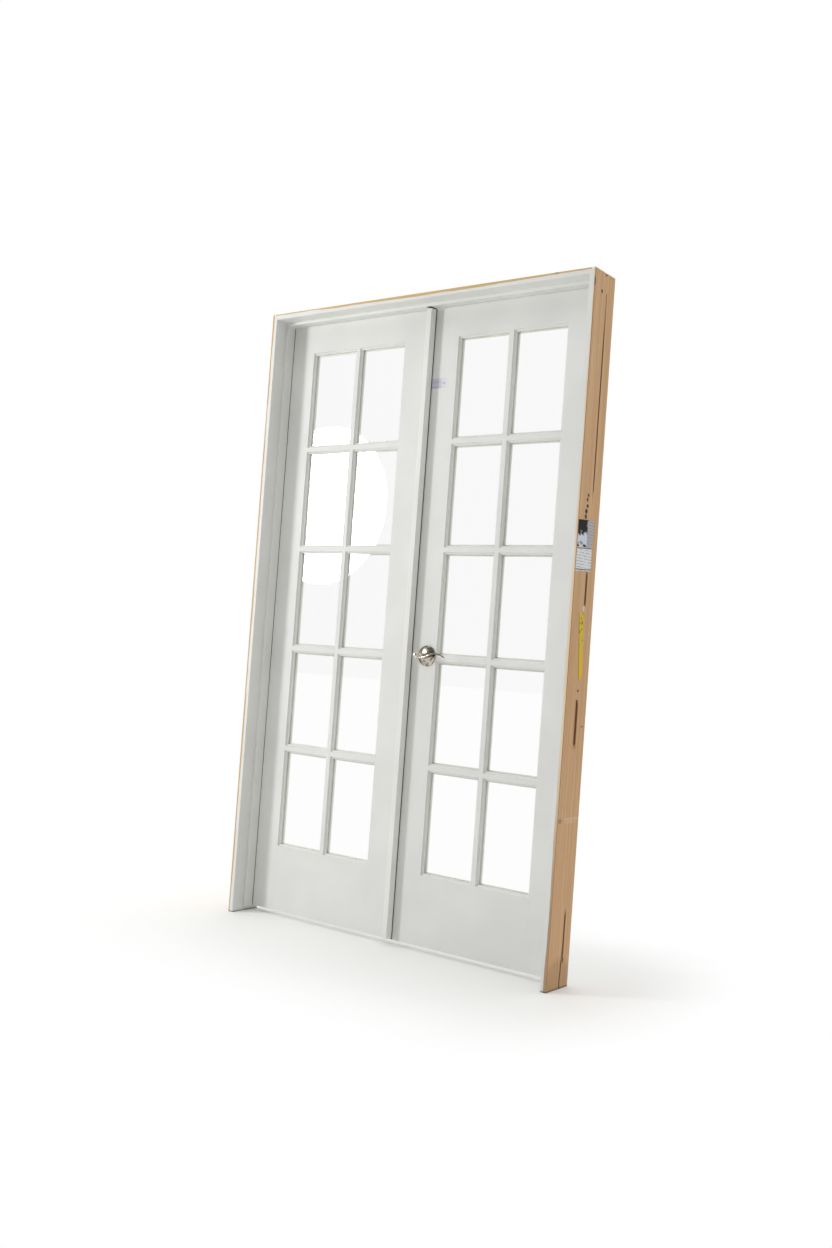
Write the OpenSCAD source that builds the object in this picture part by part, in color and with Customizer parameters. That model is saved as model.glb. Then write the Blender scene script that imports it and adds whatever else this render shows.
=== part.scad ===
// Pair of glazed french doors hung in their own frame.
// X runs along the opening, Y away from the viewer, Z up from the floor.
// The leaves close against stops on the viewer's side and swing away from the viewer.

/* [Leaf] */
// Width of one leaf
leaf_w = 609.6; // [560:0.1:920]
// Height of one leaf
leaf_h = 2032; // [1800:1:2400]
// Thickness of the leaf
leaf_t = 34.9; // [33:0.1:45]
// Width of a stile, sticking included
stile_w = 111.1; // [100:0.1:140]
// Width of the top rail, sticking included
top_rail_w = 111.1; // [90:0.1:180]
// Width of the bottom rail, sticking included
bottom_rail_w = 225.4; // [150:0.1:300]
// Width of a muntin, sticking included
muntin_w = 27.7; // [25:0.1:45]
// Rows of panes in one leaf
lite_rows = 5; // [3:1:6]

/* [Sticking and glass] */
// Radius of the cove around each pane
cove_r = 6.3; // [4:0.1:9]
// Depth of the glass behind the front face
glass_face = 13; // [11.5:0.1:15]
// Thickness of the glass
glass_t = 3.2; // [2:0.1:5]
// Width of the glazing rebate
rebate_w = 8; // [6:0.1:9]
// Room around the edge of a pane
glass_gap = 1.5; // [0.5:0.1:3]
// Reach of the glazing bead past the edge of the cove
bead_out = 4.2; // [1.5:0.1:6]
// Flat of the bead next to the glass
bead_flat = 2.5; // [1:0.1:6]
// Width of the bead's rounding
bead_round = 9; // [4:0.1:9]
// Set-in of the bead from the far face
bead_set = 5; // [0:0.1:7]
// Hairline at the coped joints
cope_gap = 0.1; // [0.05:0.01:0.3]
// Radius of a rail dowel
dowel_r = 5; // [3:0.5:6]
// Length of a rail dowel
dowel_l = 90; // [60:1:120]
// Distance of the outer dowels from the edges of a rail
dowel_edge = 26; // [18:1:36]
// Room around a dowel
dowel_gap = 0.1; // [0.05:0.01:0.3]

/* [Frame] */
// Thickness of the jambs
jamb_t = 18; // [16:0.5:30]
// Depth of the jambs from front to back
jamb_d = 121; // [112:0.5:170]
// Depth of the housing that takes the head jamb
head_housing = 6; // [3:0.5:9]
// Thickness of the stops
stop_t = 10.5; // [9:0.5:14]
// Width of the stops
stop_w = 35; // [25:0.5:45]
// Rounding of the stop's front edge
stop_r = 2; // [1:0.5:6]
// Height of the side stops above the floor
stop_lift = 15; // [0:1:30]
// Radius of a head nail
nail_r = 1.4; // [1:0.1:2.5]
// Length of a head nail
nail_l = 50; // [35:1:70]
// Depth of a head nail below the jamb's back
nail_set = 1.5; // [0.5:0.5:4]
// Distance of the outer head nails from the jamb's edges
nail_edge = 24; // [12:1:40]

/* [Gaps] */
// Gap between leaf and side jamb
side_gap = 3; // [2:0.1:5]
// Gap between the two leaves
meet_gap = 4; // [3:0.1:6]
// Gap between leaf and head jamb
head_gap = 3; // [2:0.1:6]
// Gap between leaf and floor
floor_gap = 17; // [6:0.5:30]
// Gap between leaf and stop
stop_gap = 1.8; // [0.3:0.1:2.5]

/* [Astragal] */
// Width of the astragal
astragal_w = 35; // [30:0.5:50]
// Thickness of the astragal
astragal_t = 14; // [11:0.5:18]
// Reach of the astragal past the edge of its leaf
astragal_over = 15.5; // [10:0.5:18]
// Width of its flat front
astragal_flat = 15.5; // [8:0.5:17]
// Radius of its rounded shoulders
astragal_r = 8; // [4:0.5:9]
// Relief behind the half that laps the other leaf
astragal_relief = 3; // [1:0.1:4]
// Gap between the astragal and the head stop
astragal_top_gap = 5; // [2:0.5:12]
// Height of the astragal above the leaf's bottom
astragal_lift = 6; // [0:0.5:20]

/* [Hinges] */
// Height of a hinge
hinge_h = 89; // [76:1:114]
// Width of a hinge plate on the wood
hinge_w = 28; // [24:0.5:32]
// Thickness of a hinge plate
plate_t = 2.2; // [1.5:0.1:3]
// Corner radius of a hinge plate
plate_r = 6.4; // [3:0.1:10]
// Room around a plate in its mortise
plate_gap = 0.2; // [0.1:0.05:0.5]
// Radius of the hinge barrel
barrel_r = 6; // [5:0.1:7]
// Radius of the hinge pin
pin_r = 3; // [2:0.1:3.5]
// Room around the pin in the knuckles
pin_gap = 0.05; // [0.02:0.01:0.1]
// Distance of the pin behind the leaf
pin_out = 7; // [6.5:0.1:9]
// Room between neighbouring knuckles
knuckle_gap = 0.4; // [0.3:0.05:0.8]
// Radius of the pin's button
button_r = 4.6; // [4:0.1:6]
// Height of the pin's button
button_h = 3; // [2:0.1:5]
// Distance of the top hinge from the leaf's top
hinge_top = 178; // [100:1:260]
// Distance of the bottom hinge from the leaf's bottom
hinge_bottom = 279; // [100:1:360]
// Spacing of the hinge screws
screw_pitch = 28; // [20:0.5:34]
// Distance of the outer screws from the plate's inner edge
screw_in = 8; // [6:0.5:10]
// Sideways step of the middle screw
screw_step = 9; // [4:0.5:12]
// Radius of a hinge screw's head
screw_head_r = 4.2; // [3.5:0.1:5]
// Radius of a hinge screw's shank
screw_r = 2; // [1.5:0.1:2.5]
// Length of a screw in the leaf
leaf_screw_l = 25; // [15:1:30]
// Length of a screw in the jamb
jamb_screw_l = 15; // [10:0.5:15]
// Room around a screw
screw_gap = 0.1; // [0.05:0.01:0.3]

/* [Lever set] */
// Height of the lever above the leaf's bottom
lever_h = 907; // [820:1:1000]
// Distance of the lever's axis from the lock edge
backset = 70; // [60:0.5:72]
// Diameter of a rose
rose_d = 66; // [60:0.5:72]
// Thickness of a rose at its rim
rose_rim = 3; // [2:0.1:5]
// Height of the rose at its centre
rose_t = 9; // [7:0.1:14]
// Reach of a lever from the face of the leaf
lever_reach = 68; // [54:0.5:80]
// Length of the lever's arm from its axis
lever_len = 113; // [90:1:130]
// Rise of the wave in the arm
lever_wave = 8; // [0:0.5:12]
// Height of the arm at its root
arm_root = 9; // [8:0.5:18]
// Height of the arm at its tip
arm_tip = 5; // [4:0.5:12]
// Thickness of the arm
arm_t = 8; // [6:0.5:14]
// Radius of the lever's neck
neck_r = 10; // [7:0.1:11]
// Running room around a moving piece
run_gap = 0.3; // [0.3:0.05:0.4]
// Width of the square spindle
spindle_w = 7.6; // [6:0.1:9]
// Room around the spindle in its sockets
spindle_gap = 0.1; // [0.05:0.01:0.2]
// Depth of the spindle in a neck
spindle_in = 28; // [15:1:34]
// Diameter of the hole through the stile
lock_bore = 54; // [48:0.5:56]
// Radius of the rose screws
rose_screw_r = 2; // [1.5:0.1:2.5]
// Distance of the rose screws from the axis
rose_screw_out = 19; // [17:0.5:22]
// Depth of the rose screws in a rose
rose_screw_in = 5; // [3:0.5:6]

/* [Latch] */
// Radius of the latch case
case_r = 11.5; // [11.2:0.1:12.5]
// Reach of the latch case past the lever's axis
case_past = 12; // [9:0.5:18]
// Thickness of the latch bolt
bolt_t = 12; // [9:0.1:12.4]
// Height of the latch bolt
bolt_h = 15; // [12:0.1:15.2]
// Throw of the latch bolt past the lock edge
bolt_out = 11; // [8:0.5:13]
// Length of the latch bolt inside its case
bolt_in = 26; // [18:0.5:28]
// Height of the face plate and of the strike
lock_plate_h = 57; // [50:0.5:70]
// Width of the face plate and of the strike
lock_plate_w = 25; // [22:0.5:28]
// Thickness of the face plate and of the strike
lock_plate_t = 2; // [1.5:0.1:3]
// Room around the bolt in the strike
strike_gap = 1.2; // [0.8:0.1:2]
// Depth of the pocket behind the strike
pocket_d = 14; // [10:0.5:18]

/* [Flush bolts] */
// Length of a flush bolt's plate
flush_h = 150; // [120:1:180]
// Width of a flush bolt's plate
flush_w = 19; // [16:0.5:22]
// Thickness of a flush bolt's plate
flush_t = 2.5; // [1.5:0.1:3]
// Distance of the plate from the end of the leaf
flush_end = 12; // [6:0.5:20]
// Radius of a flush bolt's rod
rod_r = 4.5; // [3.5:0.1:5]
// Length of a flush bolt's rod
rod_l = 130; // [115:1:140]
// Set-back of the rod from the lock edge
rod_in = 14; // [11:0.5:16]
// Set-back of the rod's end when drawn
rod_set = 1; // [0.5:0.1:3]
// Travel of a flush bolt
rod_travel = 13; // [8:0.5:15]
// Length of the thumb tab
tab_l = 12; // [8:0.5:16]
// Width of the thumb tab
tab_w = 6; // [4:0.5:8]
// Height of the thumb tab above the rod's end
tab_z = 80; // [60:1:90]
// Room around the rod's end in the head jamb
keeper_gap = 1.5; // [0.8:0.1:3]

/* [Right jamb back] */
// Width of the saw kerfs in the back
kerf_w = 3.6; // [1:0.1:6]
// Depth of the saw kerfs
kerf_d = 2; // [1:0.1:5]
// Distance of the long kerf from the front edge
kerf_y = 76; // [40:0.5:90]
// Distance of the long kerf's end from the top of the jamb
kerf_top = 58; // [20:1:120]
// Length of the long kerf
kerf_l = 580; // [300:1:700]
// Distance of the short kerf from the front edge
short_kerf_y = 72; // [40:0.5:90]
// Height of the short kerf's lower end
short_kerf_z = 1100; // [1000:1:1200]
// Length of the short kerf
short_kerf_l = 99; // [40:1:140]
// Distance of the open slot from the front edge
slot_y = 64; // [40:0.5:90]
// Height of the slot's lower end
slot_z = 699; // [500:1:800]
// Length of the slot
slot_l = 130; // [60:1:180]
// Width of the slot
slot_w = 11; // [4:0.5:14]
// Depth of the slot
slot_d = 4; // [2:0.5:8]
// Distance of the split from the front edge at the floor
split_y = 71; // [50:0.5:80]
// Sideways lean of the split over its height
split_lean = 13; // [0:0.5:20]
// Height of the split
split_h = 218; // [100:1:300]
// Width of the split at the floor
split_w = 4; // [2:0.1:6]
// Width of the split at its upper end
split_end = 1.5; // [1:0.1:3]
// Radius of the two nail holes
hole_r = 2.4; // [1:0.1:4]
// Depth of the nail holes
hole_d = 6; // [3:0.5:10]
// Distance of the upper nail hole from the front edge
high_hole_y = 46; // [20:0.5:100]
// Distance of the upper nail hole from the top of the jamb
high_hole_top = 58; // [30:1:120]
// Distance of the lower nail hole from the front edge
low_hole_y = 66; // [20:0.5:100]
// Height of the lower nail hole
low_hole_z = 855; // [835:1:950]
// Distance of the chipped notch from the front edge
notch_y = 69; // [20:0.5:100]
// Width of the notch in the top end
notch_w = 7; // [3:0.5:14]
// Height of the notch
notch_h = 9; // [4:0.5:16]
// Depth of the notch
notch_d = 4; // [2:0.5:8]

/* [Hidden] */
$fn = 48;
// Small overshoot for cuts
over = 1;
clear_w = 2 * leaf_w + 2 * side_gap + meet_gap;
frame_w = clear_w + 2 * jamb_t;
head_z = floor_gap + leaf_h + head_gap;
frame_h = head_z + jamb_t;
x_in = clear_w / 2;
x_out = frame_w / 2;
x_edge = x_in - side_gap;
y_f = -(jamb_d + lever_reach) / 2;
y_b = y_f + jamb_d;
y_l = y_b - leaf_t;
// Panes and muntins of one leaf, seen from its hinge edge and its bottom
lite_w = (leaf_w - 2 * stile_w - muntin_w) / 2;
lite_h = (leaf_h - top_rail_w - bottom_rail_w - (lite_rows - 1) * muntin_w) / lite_rows;
lite_x = [stile_w, stile_w + lite_w + muntin_w];
lap = max(cove_r, rebate_w);
bead_d = leaf_t - glass_face - glass_t - bead_set;
bead_w = rebate_w + bead_out;
dowel_y = (glass_face + leaf_t) / 2;
dowel_x = stile_w - rebate_w;
dowel_z = [
    dowel_edge,
    (bottom_rail_w - lap) / 2,
    bottom_rail_w - lap - dowel_edge,
    leaf_h - top_rail_w + lap + dowel_edge,
    leaf_h - dowel_edge
];
// Hinges
knuckles = 5;
knuckle_h = hinge_h / knuckles;
pin_x = -side_gap / 2;
pin_y = leaf_t + pin_out;
hinge_low = hinge_bottom + hinge_h / 2;
hinge_high = leaf_h - hinge_top - hinge_h / 2;
hinge_mid = (hinge_low + hinge_high) / 2;
hinge_z = [hinge_low, hinge_mid, hinge_high];
// Lever set, from the lock edge
lever_x = leaf_w - backset;
lock_y = leaf_t / 2;
case_l = backset + case_past;
case_room = 0.3;
arm_sides = 14;
arm_rings = 30;
arm_y = lever_reach - arm_t / 2;
// Wave of the arm: where it dips and crests along its length, and by how much of the rise
dip_s = 0.19;
crest_s = 0.66;
dip = 0.8;
crest = 1.1;
droop = 0.25;
// Flush bolts
rod_x = leaf_w - rod_in;
tab_low = rod_set + tab_z;

function lite_z(i) = bottom_rail_w + i * (lite_h + muntin_w);
function bar_z(i) = lite_z(i) + lite_h + muntin_w / 2;

// A leaf is drawn from its hinge edge, its front face and its bottom.
module on_left() {
    translate([-x_edge, y_l, floor_gap]) children();
}

module on_right() {
    translate([x_edge, y_l, floor_gap]) mirror([1, 0, 0]) children();
}

module from_top() {
    translate([0, 0, leaf_h]) mirror([0, 0, 1]) children();
}

module from_lock_edge() {
    translate([leaf_w, 0, 0]) mirror([1, 0, 0]) children();
}

// Edge of a stile or rail: flat face, cove, sight edge and glazing rebate.
module edge_section(w) {
    difference() {
        square([w, leaf_t]);
        translate([w, 0]) circle(r = cove_r);
        translate([w - rebate_w, glass_face]) square([rebate_w + over, leaf_t]);
    }
}

// A muntin has the same edge on both sides.
module bar_section() {
    for (s = [0, 1]) mirror([s, 0]) edge_section(muntin_w / 2);
}

// The same sections grown on their moulded side, to cope the pieces that meet them.
module edge_cope(w) {
    edge_section(w);
    translate([cope_gap, -cope_gap]) edge_section(w);
}

module bar_cope() {
    bar_section();
    for (s = [-1, 1]) translate([s * cope_gap, -cope_gap]) bar_section();
}

module stile_copes() {
    translate([0, 0, -over]) linear_extrude(leaf_h + 2 * over) edge_cope(stile_w);
    from_lock_edge() translate([0, 0, -over]) linear_extrude(leaf_h + 2 * over) edge_cope(stile_w);
}

module rail_copes() {
    translate([0, 0, leaf_h]) rotate([0, 90, 0]) linear_extrude(leaf_w) edge_cope(top_rail_w);
    translate([leaf_w, 0, 0]) rotate([0, -90, 0]) linear_extrude(leaf_w) edge_cope(bottom_rail_w);
}

module rail_dowels_at(r, l) {
    for (x = [dowel_x, leaf_w - dowel_x])
        for (z = dowel_z)
            translate([x - l / 2, dowel_y, z]) rotate([0, 90, 0]) cylinder(r = r, h = l);
}

module rail_dowels() {
    rail_dowels_at(dowel_r, dowel_l);
}

module dowel_holes() {
    rail_dowels_at(dowel_r + dowel_gap, dowel_l + 2 * over);
}

// Hinge plates lie in the leaf's edge and in the jamb, with knuckles round the pin.
module plate_outline(reach, ease) {
    y0 = leaf_t - hinge_w - ease;
    h = hinge_h / 2 + ease;
    translate([y0 + plate_r, -h]) square([leaf_t + reach - y0 - plate_r, 2 * h]);
    translate([y0, plate_r - h]) square([leaf_t + reach - y0, 2 * (h - plate_r)]);
    for (s = [-1, 1]) translate([y0 + plate_r, s * (h - plate_r)]) circle(r = plate_r);
}

module plate_at(x, reach, ease) {
    translate([x, 0, 0]) rotate([90, 0, 90]) linear_extrude(plate_t) plate_outline(reach, ease);
}

module knuckle_rows(first, r, ease) {
    for (k = [first : 2 : knuckles - 1])
        translate([pin_x, pin_y, k * knuckle_h - hinge_h / 2 - ease])
            cylinder(r = r, h = knuckle_h + 2 * ease);
}

module screw_spots() {
    for (i = [-1, 0, 1])
        translate([0, leaf_t - hinge_w + screw_in + (i == 0 ? screw_step : 0), i * screw_pitch])
            children();
}

// A countersunk screw along X, its head flush with the plate.
module screw_along_x(ease, l) {
    rotate([0, 90, 0]) {
        cylinder(r1 = screw_head_r + ease, r2 = screw_r + ease, h = plate_t);
        cylinder(r = screw_r + ease, h = l);
    }
}

module leaf_screw(ease, l) {
    screw_spots() screw_along_x(ease, l);
}

module jamb_screw(ease, l) {
    screw_spots() translate([-side_gap, 0, 0]) mirror([1, 0, 0]) screw_along_x(ease, l);
}

module pin_bore() {
    translate([pin_x, pin_y, -hinge_h / 2 - over])
        cylinder(r = pin_r + pin_gap, h = hinge_h + 2 * over);
}

module jamb_plate(z) {
    translate([0, 0, z]) difference() {
        union() {
            plate_at(-side_gap - plate_t, pin_out, 0);
            knuckle_rows(0, barrel_r, 0);
        }
        knuckle_rows(1, barrel_r + knuckle_gap, 0);
        pin_bore();
        jamb_screw(screw_gap, jamb_screw_l + over);
    }
}

module leaf_plate(z) {
    translate([0, 0, z]) difference() {
        union() {
            plate_at(0, pin_out, 0);
            knuckle_rows(1, barrel_r, -knuckle_gap);
        }
        knuckle_rows(0, barrel_r + knuckle_gap, knuckle_gap);
        pin_bore();
        leaf_screw(screw_gap, leaf_screw_l + over);
    }
}

module hinge_pins() {
    for (z = hinge_z)
        translate([pin_x, pin_y, z - hinge_h / 2]) {
            cylinder(r = pin_r, h = hinge_h + button_h / 2);
            translate([0, 0, hinge_h])
                rotate_extrude() intersection() {
                    square([button_r, button_h]);
                    translate([0, button_h - button_r]) circle(r = button_r);
                }
        }
}

module leaf_hinge_screws() {
    for (z = hinge_z) translate([0, 0, z]) leaf_screw(0, leaf_screw_l);
}

module leaf_hinge_cuts() {
    for (z = hinge_z) translate([0, 0, z]) {
        plate_at(0, over, plate_gap);
        leaf_screw(screw_gap, leaf_screw_l + over);
    }
}

module jamb_hinge_cuts() {
    for (z = hinge_z) translate([0, 0, z]) {
        plate_at(-side_gap - plate_t, over, plate_gap);
        jamb_screw(screw_gap, jamb_screw_l + over);
    }
}

// Frame
module head_nail_spots() {
    for (y = [nail_edge, jamb_d / 2, jamb_d - nail_edge])
        translate([-x_out, y_f + y, frame_h - jamb_t / 2]) rotate([0, 90, 0]) children();
}

module side_jamb_blank() {
    difference() {
        translate([-x_out, y_f, 0]) cube([jamb_t, jamb_d, frame_h]);
        translate([-x_in - head_housing, y_f - over, head_z])
            cube([head_housing + over, jamb_d + 2 * over, jamb_t + over]);
        on_left() jamb_hinge_cuts();
        head_nail_spots() translate([0, 0, -over])
            cylinder(r = nail_r + screw_gap, h = nail_l + 2 * over);
    }
}

module jamb_back_marks() {
    translate([x_out - kerf_d, y_f + kerf_y - kerf_w / 2, frame_h - kerf_top - kerf_l])
        cube([kerf_d + over, kerf_w, kerf_l]);
    translate([x_out - kerf_d, y_f + short_kerf_y - kerf_w / 2, short_kerf_z])
        cube([kerf_d + over, kerf_w, short_kerf_l]);
    translate([x_out - slot_d, y_f + slot_y, slot_z + slot_w / 2]) rotate([90, 0, 90])
        linear_extrude(slot_d + over) {
            translate([-slot_w / 2, 0]) square([slot_w, slot_l - slot_w]);
            circle(d = slot_w);
            translate([0, slot_l - slot_w]) circle(d = slot_w);
        }
    translate([x_out - kerf_d, y_f + split_y, 0]) rotate([90, 0, 90])
        linear_extrude(kerf_d + over) polygon([
            [-split_w / 2, -over], [split_w / 2, -over],
            [split_lean + split_end / 2, split_h], [split_lean - split_end / 2, split_h]
        ]);
    translate([x_out - hole_d, y_f + high_hole_y, frame_h - high_hole_top]) rotate([0, 90, 0])
        cylinder(r = hole_r, h = hole_d + over);
    translate([x_out - hole_d, y_f + low_hole_y, low_hole_z]) rotate([0, 90, 0])
        cylinder(r = hole_r, h = hole_d + over);
    translate([x_out - notch_d, y_f + notch_y - notch_w / 2, frame_h - notch_h])
        cube([notch_d + over, notch_w, notch_h + over]);
}

module left_jamb() {
    color("#c9a077") side_jamb_blank();
}

module right_jamb() {
    color("#b98f62") difference() {
        mirror([1, 0, 0]) side_jamb_blank();
        jamb_back_marks();
    }
}

module head_jamb() {
    head_l = clear_w + 2 * head_housing;
    color("#d6cfbf") difference() {
        translate([-head_l / 2, y_f, head_z]) cube([head_l, jamb_d, jamb_t]);
        for (m = [0, 1]) mirror([m, 0, 0]) head_nail_spots()
            cylinder(r = nail_r + screw_gap, h = nail_l + over);
        on_left() translate([rod_x, lock_y, leaf_h + head_gap - over])
            cylinder(r = rod_r + keeper_gap, h = rod_travel - rod_set - head_gap + 2 * over);
    }
}

module head_nails() {
    color("#8d9095") for (m = [0, 1]) mirror([m, 0, 0]) head_nail_spots()
        translate([0, 0, nail_set]) cylinder(r = nail_r, h = nail_l - nail_set);
}

// Section of a stop: the jamb side on the axis, the front edge rounded.
module stop_section() {
    difference() {
        square([stop_t, stop_w]);
        translate([stop_t - stop_r, -over]) square([stop_r + over, stop_r + over]);
    }
    translate([stop_t - stop_r, stop_r]) circle(r = stop_r);
}

module side_stop() {
    translate([-x_in, y_l - stop_gap - stop_w, stop_lift])
        linear_extrude(head_z - stop_t - stop_lift) stop_section();
}

module left_stop() {
    color("#d9dbd5") side_stop();
}

module right_stop() {
    color("#d9dbd5") mirror([1, 0, 0]) side_stop();
}

module head_stop() {
    color("#dfe1db") translate([-x_in, y_l - stop_gap - stop_w, head_z])
        rotate([0, 90, 0]) linear_extrude(clear_w) stop_section();
}

module left_hinge_pins() {
    color("#a9a69d") on_left() hinge_pins();
}

module right_hinge_pins() {
    color("#a9a69d") on_right() hinge_pins();
}

module jamb_hinge_screws() {
    color("#a9a69d") {
        on_left() for (z = hinge_z) translate([0, 0, z]) jamb_screw(0, jamb_screw_l);
        on_right() for (z = hinge_z) translate([0, 0, z]) jamb_screw(0, jamb_screw_l);
    }
}

// Wood and glass of a leaf
module stile_blank() {
    linear_extrude(leaf_h) edge_section(stile_w);
}

module hinge_stile() {
    difference() {
        stile_blank();
        leaf_hinge_cuts();
        dowel_holes();
    }
}

module top_rail() {
    difference() {
        translate([stile_w - lap, 0, leaf_h]) rotate([0, 90, 0])
            linear_extrude(leaf_w - 2 * (stile_w - lap)) edge_section(top_rail_w);
        stile_copes();
        dowel_holes();
    }
}

module bottom_rail() {
    difference() {
        translate([leaf_w - stile_w + lap, 0, 0]) rotate([0, -90, 0])
            linear_extrude(leaf_w - 2 * (stile_w - lap)) edge_section(bottom_rail_w);
        stile_copes();
        dowel_holes();
    }
}

module upright_muntin() {
    z0 = bottom_rail_w - lap;
    difference() {
        translate([leaf_w / 2, 0, z0])
            linear_extrude(leaf_h - top_rail_w + lap - z0) bar_section();
        rail_copes();
    }
}

module cross_muntins() {
    difference() {
        for (x = lite_x)
            for (i = [0 : lite_rows - 2])
                translate([x - lap, 0, bar_z(i)]) rotate([0, 90, 0])
                    linear_extrude(lite_w + 2 * lap) bar_section();
        stile_copes();
        translate([leaf_w / 2, 0, 0]) linear_extrude(leaf_h) bar_cope();
    }
}

module glass_panes() {
    g = rebate_w - glass_gap;
    for (x = lite_x)
        for (i = [0 : lite_rows - 1])
            translate([x - g, glass_face, lite_z(i) - g])
                cube([lite_w + 2 * g, glass_t, lite_h + 2 * g]);
}

// A bead fills the rebate and stands past the cove, flat on the glass and rounded behind.
module bead_section() {
    square([bead_w - bead_round, bead_d]);
    square([bead_w, bead_flat]);
    translate([bead_w - bead_round, bead_flat]) intersection() {
        scale([bead_round, bead_d - bead_flat]) circle(r = 1);
        square([bead_round, bead_d - bead_flat]);
    }
}

// One strip of bead along Z, mitred at both ends.
module bead_strip(l) {
    intersection() {
        linear_extrude(l) bead_section();
        translate([0, bead_d + over, 0]) rotate([90, 0, 0]) linear_extrude(bead_d + 2 * over)
            polygon([[0, 0], [bead_w, bead_w], [bead_w, l - bead_w], [0, l]]);
    }
}

module bead_set_of_four() {
    w = lite_w + 2 * rebate_w;
    h = lite_h + 2 * rebate_w;
    for (m = [0, 1]) translate([m * w, 0, 0]) mirror([m, 0, 0]) bead_strip(h);
    for (m = [0, 1]) translate([0, 0, m * h]) mirror([0, 0, 1 - m])
        rotate([0, 90, 0]) bead_strip(w);
}

module glazing_beads() {
    for (x = lite_x)
        for (i = [0 : lite_rows - 1])
            translate([x - rebate_w, glass_face + glass_t, lite_z(i) - rebate_w])
                bead_set_of_four();
}

module left_hinge_stile() {
    color("#e2e4de") on_left() hinge_stile();
}

module right_hinge_stile() {
    color("#e2e4de") on_right() hinge_stile();
}

module left_top_rail() {
    color("#dcded8") on_left() top_rail();
}

module right_top_rail() {
    color("#dcded8") on_right() top_rail();
}

module left_bottom_rail() {
    color("#dcded8") on_left() bottom_rail();
}

module right_bottom_rail() {
    color("#dcded8") on_right() bottom_rail();
}

module left_upright_muntin() {
    color("#e6e8e2") on_left() upright_muntin();
}

module right_upright_muntin() {
    color("#e6e8e2") on_right() upright_muntin();
}

module left_cross_muntins() {
    color("#d4d6d0") on_left() cross_muntins();
}

module right_cross_muntins() {
    color("#d4d6d0") on_right() cross_muntins();
}

module left_glass_panes() {
    color("#bcd3d6") on_left() glass_panes();
}

module right_glass_panes() {
    color("#bcd3d6") on_right() glass_panes();
}

module left_glazing_beads() {
    color("#cfd1cb") on_left() glazing_beads();
}

module right_glazing_beads() {
    color("#cfd1cb") on_right() glazing_beads();
}

module left_rail_dowels() {
    color("#c2a274") on_left() rail_dowels();
}

module right_rail_dowels() {
    color("#c2a274") on_right() rail_dowels();
}

module left_leaf_hinge_screws() {
    color("#a9a69d") on_left() leaf_hinge_screws();
}

module right_leaf_hinge_screws() {
    color("#a9a69d") on_right() leaf_hinge_screws();
}

module left_jamb_plate(z) {
    color("#b3b0a6") on_left() jamb_plate(z);
}

module right_jamb_plate(z) {
    color("#b3b0a6") on_right() jamb_plate(z);
}

module left_leaf_plate(z) {
    color("#c1beb4") on_left() leaf_plate(z);
}

module right_leaf_plate(z) {
    color("#c1beb4") on_right() leaf_plate(z);
}

// Plates of the lock edge, centred on the lever's height.
module lock_plate_block(ease) {
    translate([leaf_w - lock_plate_t, lock_y - lock_plate_w / 2 - ease, lever_h - lock_plate_h / 2 - ease])
        cube([lock_plate_t, lock_plate_w + 2 * ease, lock_plate_h + 2 * ease]);
}

module bolt_hole(x, l, ease) {
    translate([x, lock_y - bolt_t / 2 - ease, lever_h - bolt_h / 2 - ease])
        cube([l, bolt_t + 2 * ease, bolt_h + 2 * ease]);
}

module strike_plate() {
    color("#b3b0a6") on_left() difference() {
        lock_plate_block(0);
        bolt_hole(leaf_w - lock_plate_t - over, lock_plate_t + 2 * over, strike_gap);
    }
}

module latch_face_plate() {
    color("#b3b0a6") on_right() difference() {
        lock_plate_block(0);
        bolt_hole(leaf_w - lock_plate_t - over, lock_plate_t + 2 * over, run_gap);
    }
}

module case_along_x(r, x, l) {
    translate([x, lock_y, lever_h]) rotate([0, 90, 0]) cylinder(r = r, h = l);
}

module latch_case() {
    x0 = leaf_w - case_l;
    room = bolt_in + bolt_out + 2 * run_gap;
    color("#9a978e") on_right() difference() {
        case_along_x(case_r, x0, case_l - lock_plate_t);
        bolt_hole(leaf_w - lock_plate_t - room, room + over, run_gap);
        translate([lever_x, lock_y + case_r + over, lever_h]) rotate([90, 0, 0])
            cylinder(d = spindle_w * sqrt(2) + 4 * run_gap, h = 2 * (case_r + over));
    }
}

// The bolt's slope faces the viewer, where the leaf closes to.
module latch_bolt() {
    x0 = leaf_w - lock_plate_t - bolt_in;
    l = lock_plate_t + bolt_in + bolt_out;
    color("#cfccc2") on_right()
        translate([x0, lock_y - bolt_t / 2, lever_h - bolt_h / 2])
            linear_extrude(bolt_h) polygon([
                [0, 0], [l - bolt_out, 0], [l, bolt_t - lock_plate_t],
                [l, bolt_t], [0, bolt_t]
            ]);
}

// Levers and roses of both faces share one drawing, turned over for the far side.
module on_front() {
    on_right() translate([lever_x, 0, lever_h]) children();
}

module on_rear() {
    on_right() translate([lever_x, leaf_t, lever_h]) mirror([0, 1, 0]) children();
}

module rose() {
    dome = (pow(rose_d / 2, 2) + pow(rose_t - rose_rim, 2)) / (2 * (rose_t - rose_rim));
    difference() {
        rotate([90, 0, 0]) rotate_extrude() intersection() {
            square([rose_d / 2, rose_t]);
            translate([0, rose_t - dome]) circle(r = dome, $fn = 180);
        }
        translate([0, over, 0]) rotate([90, 0, 0])
            cylinder(r = neck_r + run_gap, h = rose_t + 2 * over);
        for (s = [-1, 1])
            translate([0, over, s * rose_screw_out]) rotate([90, 0, 0])
                cylinder(r = rose_screw_r + screw_gap, h = rose_screw_in + 2 * over);
    }
}

module front_rose() {
    color("#aaa79e") on_front() rose();
}

module rear_rose() {
    color("#aaa79e") on_rear() rose();
}

module rose_screws() {
    color("#8d8a82") on_front() for (s = [-1, 1])
        translate([0, leaf_t + rose_screw_in, s * rose_screw_out]) rotate([90, 0, 0])
            cylinder(r = rose_screw_r, h = leaf_t + 2 * rose_screw_in);
}

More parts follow.
